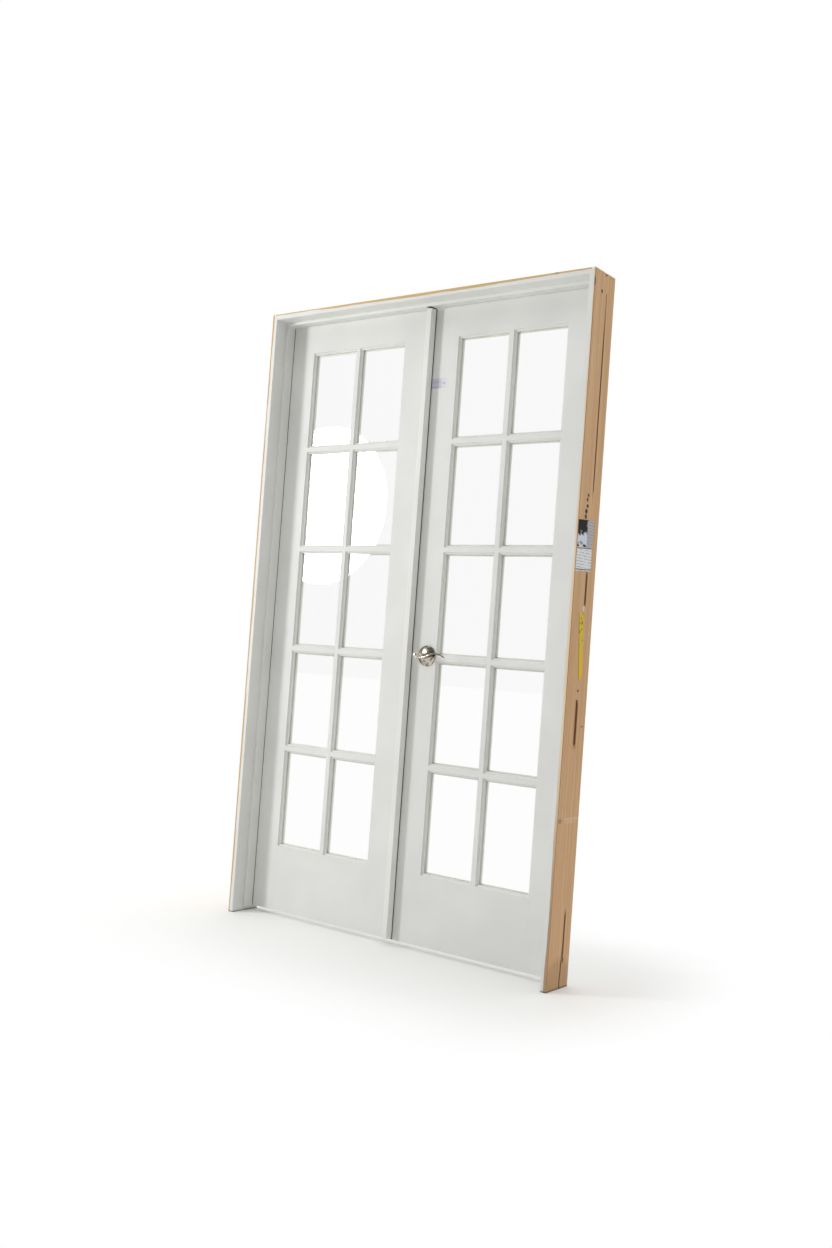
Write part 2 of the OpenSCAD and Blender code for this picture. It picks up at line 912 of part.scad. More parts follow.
// Arm of a lever: a rounded section swept along a shallow wave towards the hinges.
function ease_in(t) = t <= 0 ? 0 : (t >= 1 ? 1 : t * t * (3 - 2 * t));
function arm_s(k) = -0.09 + 1.09 * (1 - cos(180 * k / arm_rings)) / 2;
function arm_z(s) = lever_wave * (
    s < dip_s ? -dip * ease_in(s / dip_s)
    : s < crest_s ? (dip + crest) * ease_in((s - dip_s) / (crest_s - dip_s)) - dip
    : crest - (crest + droop) * pow((s - crest_s) / (1 - crest_s), 2));
function arm_end(s) = s < 0 ? sqrt(max(0, 1 - pow(s / 0.09, 2)))
    : (s > 0.93 ? sqrt(max(0, 1 - pow((s - 0.93) / 0.07, 2))) : 1);
function arm_half(s) = (arm_root + (arm_tip - arm_root) * ease_in(s / 0.7)) / 2;
function arm_point(k, j) = let (
        s = arm_s(k),
        e = max(0.02, arm_end(s)),
        a = 360 * j / arm_sides
    ) [
        -s * lever_len,
        -arm_y - arm_t / 2 * e * cos(a),
        arm_z(s) + arm_half(s) * e * sin(a)
    ];

module lever_arm() {
    points = [for (k = [0 : arm_rings]) for (j = [0 : arm_sides - 1]) arm_point(k, j)];
    last = arm_rings * arm_sides;
    sides = [
        for (k = [0 : arm_rings - 1]) for (j = [0 : arm_sides - 1])
            let (a = k * arm_sides + j, b = k * arm_sides + (j + 1) % arm_sides)
                each [[a, b + arm_sides, b], [a, a + arm_sides, b + arm_sides]]
    ];
    start = [[for (j = [0 : arm_sides - 1]) j]];
    end = [[for (j = [0 : arm_sides - 1]) last + arm_sides - 1 - j]];
    polyhedron(points, concat(sides, start, end));
}

module lever() {
    difference() {
        union() {
            rotate([90, 0, 0]) rotate_extrude() {
                translate([0, over]) square([neck_r, arm_y - over]);
                translate([0, arm_y]) intersection() {
                    square([neck_r, arm_t / 2]);
                    scale([neck_r, arm_t / 2]) circle(r = 1);
                }
            }
            lever_arm();
        }
        translate([-spindle_w / 2 - spindle_gap, -spindle_in - over, -spindle_w / 2 - spindle_gap])
            cube([spindle_w + 2 * spindle_gap, spindle_in + 2 * over, spindle_w + 2 * spindle_gap]);
    }
}

module front_lever() {
    color("#b7b4aa") on_front() lever();
}

module rear_lever() {
    color("#b7b4aa") on_rear() lever();
}

module spindle() {
    color("#85827a") on_front() translate([-spindle_w / 2, -spindle_in, -spindle_w / 2])
        cube([spindle_w, leaf_t + 2 * spindle_in, spindle_w]);
}

// Flush bolts are drawn at the bottom of the leaf and turned over for the top.
module flush_outline(ease) {
    r = flush_w / 2 + ease;
    translate([-r, flush_w / 2]) square([2 * r, flush_h - flush_w]);
    for (z = [flush_w / 2, flush_h - flush_w / 2]) translate([0, z]) circle(r = r);
}

module flush_plate_block(ease) {
    translate([leaf_w - flush_t, lock_y, flush_end]) rotate([90, 0, 90])
        linear_extrude(flush_t) flush_outline(ease);
}

module tab_room(x, l) {
    translate([x, lock_y - tab_w / 2 - run_gap, tab_low - rod_travel - over])
        cube([l, tab_w + 2 * run_gap, tab_l + rod_travel + 2 * over]);
}

module flush_plate() {
    difference() {
        flush_plate_block(0);
        tab_room(leaf_w - flush_t - over, flush_t + 2 * over);
    }
}

module flush_rod() {
    translate([rod_x, lock_y, rod_set]) cylinder(r = rod_r, h = rod_l);
    translate([rod_x, lock_y - tab_w / 2, tab_low]) cube([rod_in - over / 2, tab_w, tab_l]);
}

module flush_cuts() {
    flush_plate_block(plate_gap);
    tab_room(rod_x, rod_in + over);
    translate([rod_x, lock_y, -over])
        cylinder(r = rod_r + run_gap, h = rod_set + rod_l + 2 * over);
}

module top_flush_plate() {
    color("#b3b0a6") on_left() from_top() flush_plate();
}

module bottom_flush_plate() {
    color("#b3b0a6") on_left() flush_plate();
}

module top_flush_rod() {
    color("#cfccc2") on_left() from_top() flush_rod();
}

module bottom_flush_rod() {
    color("#cfccc2") on_left() flush_rod();
}

module left_lock_stile() {
    color("#d8dad4") on_left() difference() {
        from_lock_edge() stile_blank();
        dowel_holes();
        lock_plate_block(plate_gap);
        bolt_hole(leaf_w - pocket_d, pocket_d + over, strike_gap);
        flush_cuts();
        from_top() flush_cuts();
    }
}

module right_lock_stile() {
    color("#d8dad4") on_right() difference() {
        from_lock_edge() stile_blank();
        dowel_holes();
        lock_plate_block(plate_gap);
        case_along_x(case_r + case_room, leaf_w - case_l - over, case_l + over);
        translate([lever_x, leaf_t + over, lever_h]) rotate([90, 0, 0])
            cylinder(d = lock_bore, h = leaf_t + 2 * over);
    }
}

// Strip on the left leaf that covers the meeting gap, rounded on both shoulders.
module astragal_section() {
    side = (astragal_w - astragal_flat) / 2;
    base = astragal_t - astragal_r;
    intersection() {
        translate([0, -astragal_t]) square([astragal_w, astragal_t]);
        union() {
            translate([0, -base]) square([astragal_w, base]);
            translate([side, -astragal_t]) square([astragal_flat, astragal_t]);
            for (x = [side, astragal_w - side]) translate([x, -base]) circle(r = astragal_r);
        }
    }
}

module astragal() {
    top = leaf_h + head_gap - stop_t - astragal_top_gap;
    color("#e6e7e1") on_left() difference() {
        translate([leaf_w + astragal_over - astragal_w, 0, astragal_lift])
            linear_extrude(top - astragal_lift) astragal_section();
        translate([leaf_w, -astragal_relief, astragal_lift - over])
            cube([astragal_over + over, astragal_relief + over, top - astragal_lift + 2 * over]);
    }
}

left_jamb();
right_jamb();
head_jamb();
left_stop();
right_stop();
head_stop();
head_nails();
left_jamb_plate(hinge_high);  // left_top_hinge_jamb_plate
left_jamb_plate(hinge_mid);  // left_middle_hinge_jamb_plate
left_jamb_plate(hinge_low);  // left_bottom_hinge_jamb_plate
right_jamb_plate(hinge_high);  // right_top_hinge_jamb_plate
right_jamb_plate(hinge_mid);  // right_middle_hinge_jamb_plate
right_jamb_plate(hinge_low);  // right_bottom_hinge_jamb_plate
left_hinge_pins();
right_hinge_pins();
jamb_hinge_screws();
left_hinge_stile();
left_lock_stile();
left_top_rail();
left_bottom_rail();
left_upright_muntin();
left_cross_muntins();
left_glass_panes();
left_glazing_beads();
left_rail_dowels();
left_leaf_hinge_screws();
left_leaf_plate(hinge_high);  // left_top_hinge_leaf_plate
left_leaf_plate(hinge_mid);  // left_middle_hinge_leaf_plate
left_leaf_plate(hinge_low);  // left_bottom_hinge_leaf_plate
astragal();
strike_plate();
top_flush_plate();
top_flush_rod();
bottom_flush_plate();
bottom_flush_rod();
right_hinge_stile();
right_lock_stile();
right_top_rail();
right_bottom_rail();
right_upright_muntin();
right_cross_muntins();
right_glass_panes();
right_glazing_beads();
right_rail_dowels();
right_leaf_hinge_screws();
right_leaf_plate(hinge_high);  // right_top_hinge_leaf_plate
right_leaf_plate(hinge_mid);  // right_middle_hinge_leaf_plate
right_leaf_plate(hinge_low);  // right_bottom_hinge_leaf_plate
latch_face_plate();
latch_case();
latch_bolt();
front_rose();
rear_rose();
rose_screws();
front_lever();
rear_lever();
spindle();
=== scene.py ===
"""Dress a pair of glazed french doors in primed wood, raw pine, clear glass and satin nickel."""

import functools
import logging
import math
from collections.abc import Callable
from dataclasses import dataclass
from enum import Enum

import bpy
import numpy as np
from mathutils import Matrix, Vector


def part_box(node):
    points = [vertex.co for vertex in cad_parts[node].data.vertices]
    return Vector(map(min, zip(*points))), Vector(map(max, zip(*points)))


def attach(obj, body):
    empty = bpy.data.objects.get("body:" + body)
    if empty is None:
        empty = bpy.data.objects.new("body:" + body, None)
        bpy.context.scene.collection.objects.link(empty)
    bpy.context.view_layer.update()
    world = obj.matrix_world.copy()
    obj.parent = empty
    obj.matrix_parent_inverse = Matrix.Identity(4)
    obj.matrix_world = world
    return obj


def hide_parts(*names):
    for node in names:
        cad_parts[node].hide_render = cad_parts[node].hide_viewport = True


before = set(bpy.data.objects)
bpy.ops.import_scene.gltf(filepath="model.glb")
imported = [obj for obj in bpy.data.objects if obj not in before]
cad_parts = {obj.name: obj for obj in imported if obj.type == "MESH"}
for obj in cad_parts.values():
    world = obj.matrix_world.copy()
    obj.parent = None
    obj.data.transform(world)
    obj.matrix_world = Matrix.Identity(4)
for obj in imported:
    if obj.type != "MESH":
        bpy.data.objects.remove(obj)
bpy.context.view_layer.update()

MM = 0.001
HINGE_PLACES = ("top", "middle", "bottom")
SHARP_DEG = 40.0
WHITE = (1.0, 1.0, 1.0, 1.0)
log = logging.getLogger("french_doors")

# Settings that many nodes share: a colour mix with the numbers of its two colours, the numbers of the two
# values of a plain mix, a soft step, the range that most of a noise lies in, and the surface of paper.
RGBA = {"out": 2, "data_type": "RGBA"}
FROM, TO = 6, 7
LOW, HIGH = 2, 3
SOFT = {"interpolation_type": "SMOOTHSTEP"}
MOST = (0.35, 0.65)
PAPER = {"Roughness": 0.6, "Specular IOR Level": 0.2}

Socket = bpy.types.NodeSocket
Adder = Callable[..., Socket]
Pair = tuple[float, float]
Triple = tuple[float, float, float]
Box = tuple[Triple, Triple]
Corners = tuple[Pair, ...]


class Axis(Enum):
    """One direction of the part's frame."""

    X = 0
    Y = 1
    Z = 2


class Worded(Enum):
    """A choice with a word that starts the names of its nodes."""

    @property
    def word(self) -> str:
        """The choice's own name in small letters."""
        return self.name.lower()


class Side(Worded):
    """One of the two leaves, with the sign of its side of the opening."""

    LEFT = -1
    RIGHT = 1


class Face(Worded):
    """Which way a lever looks from its leaf, with the sign of that way along Y."""

    FRONT = -1
    REAR = 1


def linear(code: str) -> tuple[float, float, float, float]:
    """Turn an sRGB hex colour into linear RGBA.

    Args:
        code: colour such as #E2E4DE.

    Returns:
        The linear colour with an alpha of 1.
    """
    srgb = np.array([int(code[i:i + 2], 16) for i in (1, 3, 5)]) / 255.0
    rgb = np.where(srgb <= 0.04045, srgb / 12.92, ((srgb + 0.055) / 1.055) ** 2.4)
    return (*rgb.tolist(), 1.0)


def add_node(tree: bpy.types.NodeTree, kind: str, *inputs, out: int | str = 0, named: dict | None = None,
             **settings) -> Socket | None:
    """Add one node, set its properties, fill or link its inputs, and give one of its outputs.

    Args:
        tree: node tree that takes the node.
        kind: type of the node, without the word that every shader node starts with, and its operation if any.
        inputs: values, hex colours or sockets for the first inputs, in order.
        out: name or number of the output to give.
        named: values, hex colours or sockets for other inputs, by name or number.
        settings: properties of the node.

    Returns:
        The chosen output, or None from a node that has none.
    """
    kind, _, operation = kind.partition(" ")
    if operation:
        settings["operation"] = operation
    node = tree.nodes.new("ShaderNode" + kind)
    for name, value in settings.items():
        setattr(node, name, value)
    for key, value in (dict(enumerate(inputs)) | (named or {})).items():
        if isinstance(value, bpy.types.NodeSocket):
            tree.links.new(value, node.inputs[key])
        else:
            node.inputs[key].default_value = linear(value) if isinstance(value, str) else value
    return node.outputs[out] if node.outputs else None


def patches(add: Adder, detail: float, long_mm: float, wide_mm: float = 0.0, axis: Axis = Axis.Z) -> Socket:
    """Give a noise in patches that are long on one axis, or as long as wide.

    Args:
        add: adds a node to the material.
        detail: how many finer layers the noise has.
        long_mm: length of a patch.
        wide_mm: width of a patch, or 0 for its length.
        axis: direction of its length.

    Returns:
        The socket of the noise.
    """
    scale = tuple(1.0 / ((long_mm if a is axis else wide_mm or long_mm) * MM) for a in Axis)
    drawn = add("VectorMath MULTIPLY", add("TexCoord", out="Object"), scale)
    return add("TexNoise", drawn, named={"Scale": 1.0, "Detail": detail})


def on_print(add: Adder) -> tuple[Socket, ...]:
    """Give the place on a sheet's print, across and up, from 0 to 1."""
    place = add("UVMap", uv_map="print")
    return tuple(add("SeparateXYZ", place, out=i) for i in range(2))


def ruled(add: Adder, pitch_mm: float) -> Socket:
    """Give a wave that runs up the part, one period to each pitch."""
    height = add("SeparateXYZ", add("TexCoord", out="Object"), out=2)
    turns = add("Math DIVIDE", height, pitch_mm * MM)
    return add("Math SINE", add("Math MULTIPLY", turns, math.tau))


def seen(add: Adder, mirrored: Socket) -> Socket:
    """Pick the rays from the camera, those through glass, and the mirrored ones that are given."""
    direct = add("LightPath", out="Is Camera Ray")
    through = add("LightPath", out="Is Transmission Ray")
    either = add("Math MAXIMUM", direct, through)
    return add("Math MAXIMUM", either, mirrored)


class Finish:
    """A finish that can shade one material."""

    name: str

    def shade(self, add: Adder) -> Socket:
        """Add the nodes and give the shader's socket."""
        raise NotImplementedError


@functools.cache
def material_of(finish: Finish) -> bpy.types.Material:
    """Build the material of a finish once.

    Args:
        finish: the finish to build.

    Returns:
        Its material.
    """
    material = bpy.data.materials.new(finish.name)
    material.use_nodes = True
    material.node_tree.nodes.clear()
    add = functools.partial(add_node, material.node_tree)
    add("OutputMaterial", finish.shade(add))
    return material


@dataclass(frozen=True)
class PrimedWood(Finish):
    """Factory-primed softwood: a sprayed matt white coat, with the grain just telling through it."""

    name: str
    axis: Axis
    pale: str = "#E7E7E4"
    deep: str = "#DFE0DC"
    grain_mm: Pair = (190.0, 2.4)
    stipple_mm: float = 1.5
    cloud_mm: float = 240.0
    rough: Pair = (0.52, 0.62)
    ease_mm: float = 0.3
    bump_mm: float = 0.1
    painted_shade: str = "#6F6252"
    painted_shade_mm: Box | None = None

    def coat(self, add: Adder) -> tuple[Socket, Socket]:
        """Give the coat's colour and height: soft clouds, drawn-out grain and a fine sprayed stipple.

        Args:
            add: adds a node to the material.

        Returns:
            The sockets of the colour and of the height, about 0.3 to 0.7.
        """
        grain = patches(add, 2.0, *self.grain_mm, self.axis)
        cloud = patches(add, 2.0, self.cloud_mm)
        stipple = patches(add, 1.0, self.stipple_mm)
        cloudy = add("MapRange", cloud, *MOST, 0.0, 0.7, **SOFT)
        tone = add("Math MULTIPLY_ADD", grain, 0.3, cloudy, use_clamp=True)
        colour = add("Mix", tone, named={FROM: self.pale, TO: self.deep}, **RGBA)
        height = add("Mix", 0.4, named={LOW: grain, HIGH: stipple}, data_type="FLOAT")
        return colour, height

    def shade(self, add: Adder) -> Socket:
        """Add the nodes and give the shader's socket."""
        colour, height = self.coat(add)
        # Inside the given box the coat takes one flat darker colour: painted shade in gaps and at feet.
        if self.painted_shade_mm is not None:
            low, high = (np.array(corner) * MM for corner in self.painted_shade_mm)
            place = add("TexCoord", out="Object")
            off = add("VectorMath SUBTRACT", place, tuple(0.5 * (low + high)))
            away = add("VectorMath MULTIPLY", off, tuple(2.0 / (high - low)))
            reach = add("VectorMath ABSOLUTE", away)
            x, y, z = (add("SeparateXYZ", reach, out=i) for i in range(3))
            most = add("Math MAXIMUM", add("Math MAXIMUM", x, y), z)
            share = add("Math LESS_THAN", most, 1.0)
            colour = add("Mix", share, named={FROM: colour, TO: self.painted_shade}, **RGBA)
        eased = add("Bevel", self.ease_mm * MM, samples=4)
        bump = {"Strength": 0.3, "Distance": self.bump_mm * MM, "Height": height, "Normal": eased}
        gloss = add("MapRange", height, *MOST, *self.rough)
        links = {"Base Color": colour, "Roughness": gloss, "IOR": 1.5, "Normal": add("Bump", named=bump)}
        return add("BsdfPrincipled", named=links)


class MarkShape(Enum):
    """Outline of a mark on raw wood."""

    OVAL = "oval"
    LINE = "line"


@dataclass(frozen=True)
class Mark:
    """A knot, stain or cut on raw wood: middle and half sizes along it and from its front, and colour."""

    along_mm: float
    across_mm: float
    half_along_mm: float
    half_across_mm: float
    colour: str
    strength: float = 0.85
    shape: MarkShape = MarkShape.OVAL


@dataclass(frozen=True)
class JambPine(Finish):
    """Sawn pine primed on the sides that show: the back, the ends and a strip of the edges stay raw."""

    name: str
    axis: Axis
    outer: Axis
    outer_at_mm: float
    front_mm: float
    rear_mm: float
    length_mm: Pair
    raw_mm: Triple
    raw_wander_mm: float = 4.0
    raw_least_mm: float = 0.3
    brown_mm: Pair = (1.5, 6.5)
    back_mm: Pair = (0.05, 0.4)
    strip_mm: Pair = (0.4, 1.2)
    rough: Pair = (0.75, 0.57)
    cut_from_mm: float = 0.06
    cut_to_mm: float = 6.5
    cut_margin_mm: float = 5.0
    early: str = "#EBC496"
    heart: str = "#DBB084"
    late: str = "#B3855A"
    strip: str = "#EFE0C6"
    arris: str = "#8E6236"
    cut: str = "#8A5420"
    foot_shade: str = "#3B3026"
    ring_mm: float = 5.5
    bow_mm: float = 30.0
    drift_mm: Pair = (900.0, 55.0)
    fibre_mm: Pair = (80.0, 0.9)
    streak_mm: Pair = (700.0, 9.0)
    wander_mm: Pair = (170.0, 400.0)
    ease_mm: float = 0.3
    bump_mm: float = 0.15
    foot_shade_mm: float = 0.0
    browned_foot_mm: float = 0.0
    marks: tuple[Mark, ...] = ()

    def rings(self, add: Adder, across: Socket, depth: Socket) -> tuple[Socket, Socket]:
        """Give the pine's colour and height: straight growth rings along the board, with fine fibres.

        Args:
            add: adds a node to the material.
            across: socket with the place across the board, in millimetres.
            depth: socket with the depth below the raw face, in millimetres.

        Returns:
            The sockets of the colour and of the height.
        """
        drift = patches(add, 1.5, *self.drift_mm, self.axis)
        fibre = patches(add, 2.0, *self.fibre_mm, self.axis)
        streak = patches(add, 2.0, *self.streak_mm, self.axis)
        slant = add("Math MULTIPLY_ADD", depth, 0.5, across)
        bowed = add("Math MULTIPLY_ADD", drift, self.bow_mm, slant)
        years = add("Math DIVIDE", bowed, self.ring_mm)
        ring = add("Math FRACT", years)
        rise = add("MapRange", ring, 0.30, 0.90, 0.0, 0.5, **SOFT)
        fall = add("MapRange", ring, 0.93, 1.0, 1.0, 0.0, **SOFT)
        late = add("Math MULTIPLY", rise, fall)
        fine = add("MapRange", fibre, *MOST)
        mark = add("Math MULTIPLY_ADD", fine, 0.45, late)
        share = add("Math MULTIPLY", mark, 0.75, use_clamp=True)
        spread = add("MapRange", streak, *MOST)
        ground = add("Mix", spread, named={FROM: self.early, TO: self.heart}, **RGBA)
        return add("Mix", share, named={FROM: ground, TO: self.late}, **RGBA), mark

    def marked(self, add: Adder, colour: Socket, length: Socket, across: Socket) -> Socket:
        """Lay the knots, stains and scorched cuts over the raw wood as soft ovals or straight lines.

        Args:
            add: adds a node to the material.
            colour: socket of the wood's colour.
            length: socket with the place along the board, in millimetres.
            across: socket with the place across the board from its front, in millimetres.

        Returns:
            The socket of the marked colour.
        """
        for mark in self.marks:
            run = add("Math SUBTRACT", length, mark.along_mm)
            side = add("Math SUBTRACT", across, mark.across_mm)
            flat = add("CombineXYZ", run, side)
            round_scale = (1.0 / mark.half_along_mm, 1.0 / mark.half_across_mm, 0.0)
            oval = add("VectorMath MULTIPLY", flat, round_scale)
            if mark.shape is MarkShape.OVAL:
                reach = add("VectorMath LENGTH", oval, out="Value")
            else:
                sizes = add("VectorMath ABSOLUTE", oval)
                ends = (add("SeparateXYZ", sizes, out=i) for i in range(2))
                reach = add("Math MAXIMUM", *ends)
            share = add("MapRange", reach, 0.7, 1.2, mark.strength, 0.0, **SOFT)
            colour = add("Mix", share, named={FROM: colour, TO: mark.colour}, **RGBA)
        return colour

    def raw_reach(self, add: Adder, length: Socket) -> Socket:
        """Give how far the raw wood runs round the edge: three widths along the board, and a wander.

        Args:
            add: adds a node to the material.
            length: socket with the place along the board, in millimetres.

        Returns:
            The socket of the width, in millimetres.
        """
        start, end = self.length_mm
        middle, half = 0.5 * (start + end), 0.5 * self.raw_wander_mm
        low, centre, high = self.raw_mm
        first = add("MapRange", length, start, middle, low, centre, **SOFT)
        second = add("MapRange", length, middle, end, 0.0, high - centre, **SOFT)
        swing = add("MapRange", patches(add, 3.0, *self.wander_mm, self.axis), 0.3, 0.7, -half, half)
        width = add("Math ADD", add("Math ADD", first, second), swing)
        return add("Math MAXIMUM", width, self.raw_least_mm)

    def shade(self, add: Adder) -> Socket:
        """Add the nodes and give the shader's socket."""
        metres = add("TexCoord", out="Object")
        place = add("VectorMath SCALE", metres, named={"Scale": 1.0 / MM})
        at = [add("SeparateXYZ", place, out=i) for i in range(3)]
        length = at[self.axis.value]
        across = add("Math SUBTRACT", at[1], self.front_mm)
        off_middle = add("Math ABSOLUTE", at[self.outer.value])
        depth = add("Math SUBTRACT", self.outer_at_mm, off_middle)
        wood, fibre = self.rings(add, across, depth)
        colour = self.marked(add, wood, length, across)
        # Painted shade browns the back at its front arris; the raw strip past it is pale, brown near the
        # foot.
        edge = add("MapRange", across, *self.brown_mm, 0.6, 0.0, **SOFT)
        on_back = add("MapRange", depth, *self.back_mm, 1.0, 0.0)
        off_back = add("MapRange", depth, *self.strip_mm, 0.0, 0.7)
        layers = [(add("Math MULTIPLY", edge, on_back), self.arris), (off_back, self.strip)]
        if self.browned_foot_mm > 0.0:
            low = add("MapRange", length, 0.3 * self.browned_foot_mm, self.browned_foot_mm, 1.0, 0.0)
            layers.append((add("Math MULTIPLY", low, off_back), self.arris))
        # The walls of the cuts lie just below the back, away from its edges.
        half = 0.5 * (self.rear_mm - self.front_mm)
        inside = add("Math COMPARE", across, half, half - self.cut_margin_mm)
        below = add("MapRange", depth, self.cut_from_mm, self.cut_from_mm + 0.2)
        above = add("MapRange", depth, self.cut_to_mm, self.cut_to_mm + 0.5, 1.0, 0.0)
        walls = add("Math MULTIPLY", below, above)
        sunk = add("Math MULTIPLY", walls, inside)
        layers.append((add("Math MULTIPLY", sunk, 0.85), self.cut))
        # The coat covers what is deeper than the raw strip, but neither the cuts nor the two ends.
        over = add("Math SUBTRACT", depth, self.raw_reach(add, length))
        coated = add("MapRange", over, -0.3, 0.5, **SOFT)
        middle = 0.5 * (self.length_mm[0] + self.length_mm[1])
        between = add("Math COMPARE", length, middle, self.length_mm[1] - middle - 0.1)
        uncut = add("Math SUBTRACT", 1.0, sunk)
        whole = add("Math MULTIPLY", uncut, between)
        painted = add("Math MULTIPLY", coated, whole)
        primer, stipple = PrimedWood("coat", self.axis).coat(add)
        layers.append((painted, primer))
        # Painted contact shadow: the board darkens to near black over its last few millimetres above the
        # floor.
        if self.foot_shade_mm > 0.0:
            layers.append((add("MapRange", length, 0.0, self.foot_shade_mm, 0.85, 0.0, **SOFT), self.foot_shade))
        for share, tone in layers:
            colour = add("Mix", share, named={FROM: colour, TO: tone}, **RGBA)
        height = add("Mix", painted, named={LOW: fibre, HIGH: stipple}, data_type="FLOAT")
        eased = add("Bevel", self.ease_mm * MM, samples=4)
        bump = {"Strength": 0.3, "Distance": self.bump_mm * MM, "Height": height, "Normal": eased}
        gloss = add("MapRange", painted, 0.0, 1.0, *self.rough)
        links = {"Base Color": colour, "Roughness": gloss, "IOR": 1.5, "Normal": add("Bump", named=bump)}
        return add("BsdfPrincipled", named=links)


@dataclass(frozen=True)
class FloatGlass(Finish):
    """Clear float glass: flat, bright and clean, with a trace of haze from handling."""

    name: str
    tint: str = "#FCFDFC"
    haze_mm: float = 60.0

    def shade(self, add: Adder) -> Socket:
        """Add the nodes and give the shader's socket."""
        gloss = add("MapRange", patches(add, 4.0, self.haze_mm), 0.45, 0.75, 0.0, 0.03)
        links = {"Base Color": self.tint, "Roughness": gloss, "IOR": 1.5, "Transmission Weight": 1.0}
        return add("BsdfPrincipled", named=links)


@dataclass(frozen=True)
class PlatedMetal(Finish):
    """Plated metal with a fine brushed or tumbled grain that softens what it mirrors."""

    name: str
    pale: str
    deep: str
    roughness: float
    axis: Axis = Axis.Z
    brush_mm: Pair = (14.0, 0.35)
    cloud_mm: float = 18.0
    ease_mm: float = 0.3
    bump_mm: float = 0.02
    tip_shade: str = "#6A6256"
    tip_shade_mm: Pair | None = None

    def shade(self, add: Adder) -> Socket:
        """Add the nodes and give the shader's socket."""
        brush = patches(add, 2.0, *self.brush_mm, self.axis)
        share = add("MapRange", patches(add, 2.0, self.cloud_mm), *MOST)
        colour = add("Mix", share, named={FROM: self.pale, TO: self.deep}, **RGBA)
        # Darker along X over the given span: a painted dark reflection.
        if self.tip_shade_mm is not None:
            start, end = (limit * MM for limit in self.tip_shade_mm)
            x = add("SeparateXYZ", add("TexCoord", out="Object"))
            along = add("MapRange", x, start, end, 0.0, 0.85)
            colour = add("Mix", along, named={FROM: colour, TO: self.tip_shade}, **RGBA)
        gloss = add("MapRange", brush, 0.3, 0.7, self.roughness - 0.05, self.roughness + 0.07)
        eased = add("Bevel", self.ease_mm * MM, samples=4)
        bump = {"Strength": 0.2, "Distance": self.bump_mm * MM, "Height": brush, "Normal": eased}
        normal = add("Bump", named=bump)
        links = {"Base Color": colour, "Metallic": 1.0, "Roughness": gloss, "Normal": normal}
        return add("BsdfPrincipled", named=links)


@dataclass(frozen=True)
class TurnedWood(Finish):
    """Raw hardwood dowel: pale, matt, with fine fibres along its length."""

    name: str
    pale: str = "#CBAA7C"
    deep: str = "#AC8858"
    fibre_mm: Pair = (40.0, 0.8)
    bump_mm: float = 0.1

    def shade(self, add: Adder) -> Socket:
        """Add the nodes and give the shader's socket."""
        fibre = patches(add, 3.0, *self.fibre_mm, Axis.X)
        share = add("MapRange", fibre, *MOST)
        colour = add("Mix", share, named={FROM: self.pale, TO: self.deep}, **RGBA)
        normal = add("Bump", named={"Strength": 0.3, "Distance": self.bump_mm * MM, "Height": fibre})
        return add("BsdfPrincipled", named={"Base Color": colour, "Roughness": 0.7, "Normal": normal})


@dataclass(frozen=True)
class PictureSheet(Finish):
    """Printed paper, the picture half: a dark blurred field beside a pale grey-blue panel, no words."""

    name: str
    dark: str = "#0B0B12"
    pale: str = "#DCE2F0"
    panel: str = "#C3BBBC"
    rule: str = "#928E97"
    split_at: float = 0.6
    split_soft: float = 0.02
    blotch_mm: float = 22.0
    rule_mm: float = 9.0

    def shade(self, add: Adder) -> Socket:
        """Add the nodes and give the shader's socket."""
        across, up = on_print(add)
        lower = add("MapRange", up, 0.35, 0.65, 0.16, -0.10)
        lit = add("Math ADD", patches(add, 2.5, self.blotch_mm), lower)
        share = add("MapRange", lit, 0.50, 0.62, **SOFT)
        picture = add("Mix", share, named={FROM: self.dark, TO: self.pale}, **RGBA)
        lines = add("MapRange", ruled(add, self.rule_mm), 0.0, 0.9, 0.0, 0.6, **SOFT)
        panel = add("Mix", lines, named={FROM: self.panel, TO: self.rule}, **RGBA)
        right = add("MapRange", across, self.split_at - self.split_soft, self.split_at + self.split_soft)
        colour = add("Mix", right, named={FROM: picture, TO: panel}, **RGBA)
        return add("BsdfPrincipled", named={"Base Color": colour} | PAPER)


@dataclass(frozen=True)
class RuledSheet(Finish):
    """Printed paper, the plain half: pale grey with soft grey bands and a dark bar at each end, no words."""

    name: str
    paper: str = "#EDEEF0"
    band: str = "#B2B3B8"
    bar: str = "#6A645E"
    band_mm: float = 8.5
    broken_mm: float = 14.0
    bar_at: Pair = (0.07, 0.95)
    bar_half: float = 0.03

    def shade(self, add: Adder) -> Socket:
        """Add the nodes and give the shader's socket."""
        up = on_print(add)[1]
        broken = add("MapRange", patches(add, 1.0, self.broken_mm), 0.3, 0.7, 0.2, 1.0)
        uneven = add("Math MULTIPLY", ruled(add, self.band_mm), broken)
        share = add("MapRange", uneven, 0.1, 0.8, 0.0, 0.9, **SOFT)
        colour = add("Mix", share, named={FROM: self.paper, TO: self.band}, **RGBA)
        for at in self.bar_at:
            off = add("Math ABSOLUTE", add("Math SUBTRACT", up, at))
            near = add("MapRange", off, self.bar_half * 0.5, self.bar_half, 0.9, 0.0)
            colour = add("Mix", near, named={FROM: colour, TO: self.bar}, **RGBA)
        return add("BsdfPrincipled", named={"Base Color": colour} | PAPER)


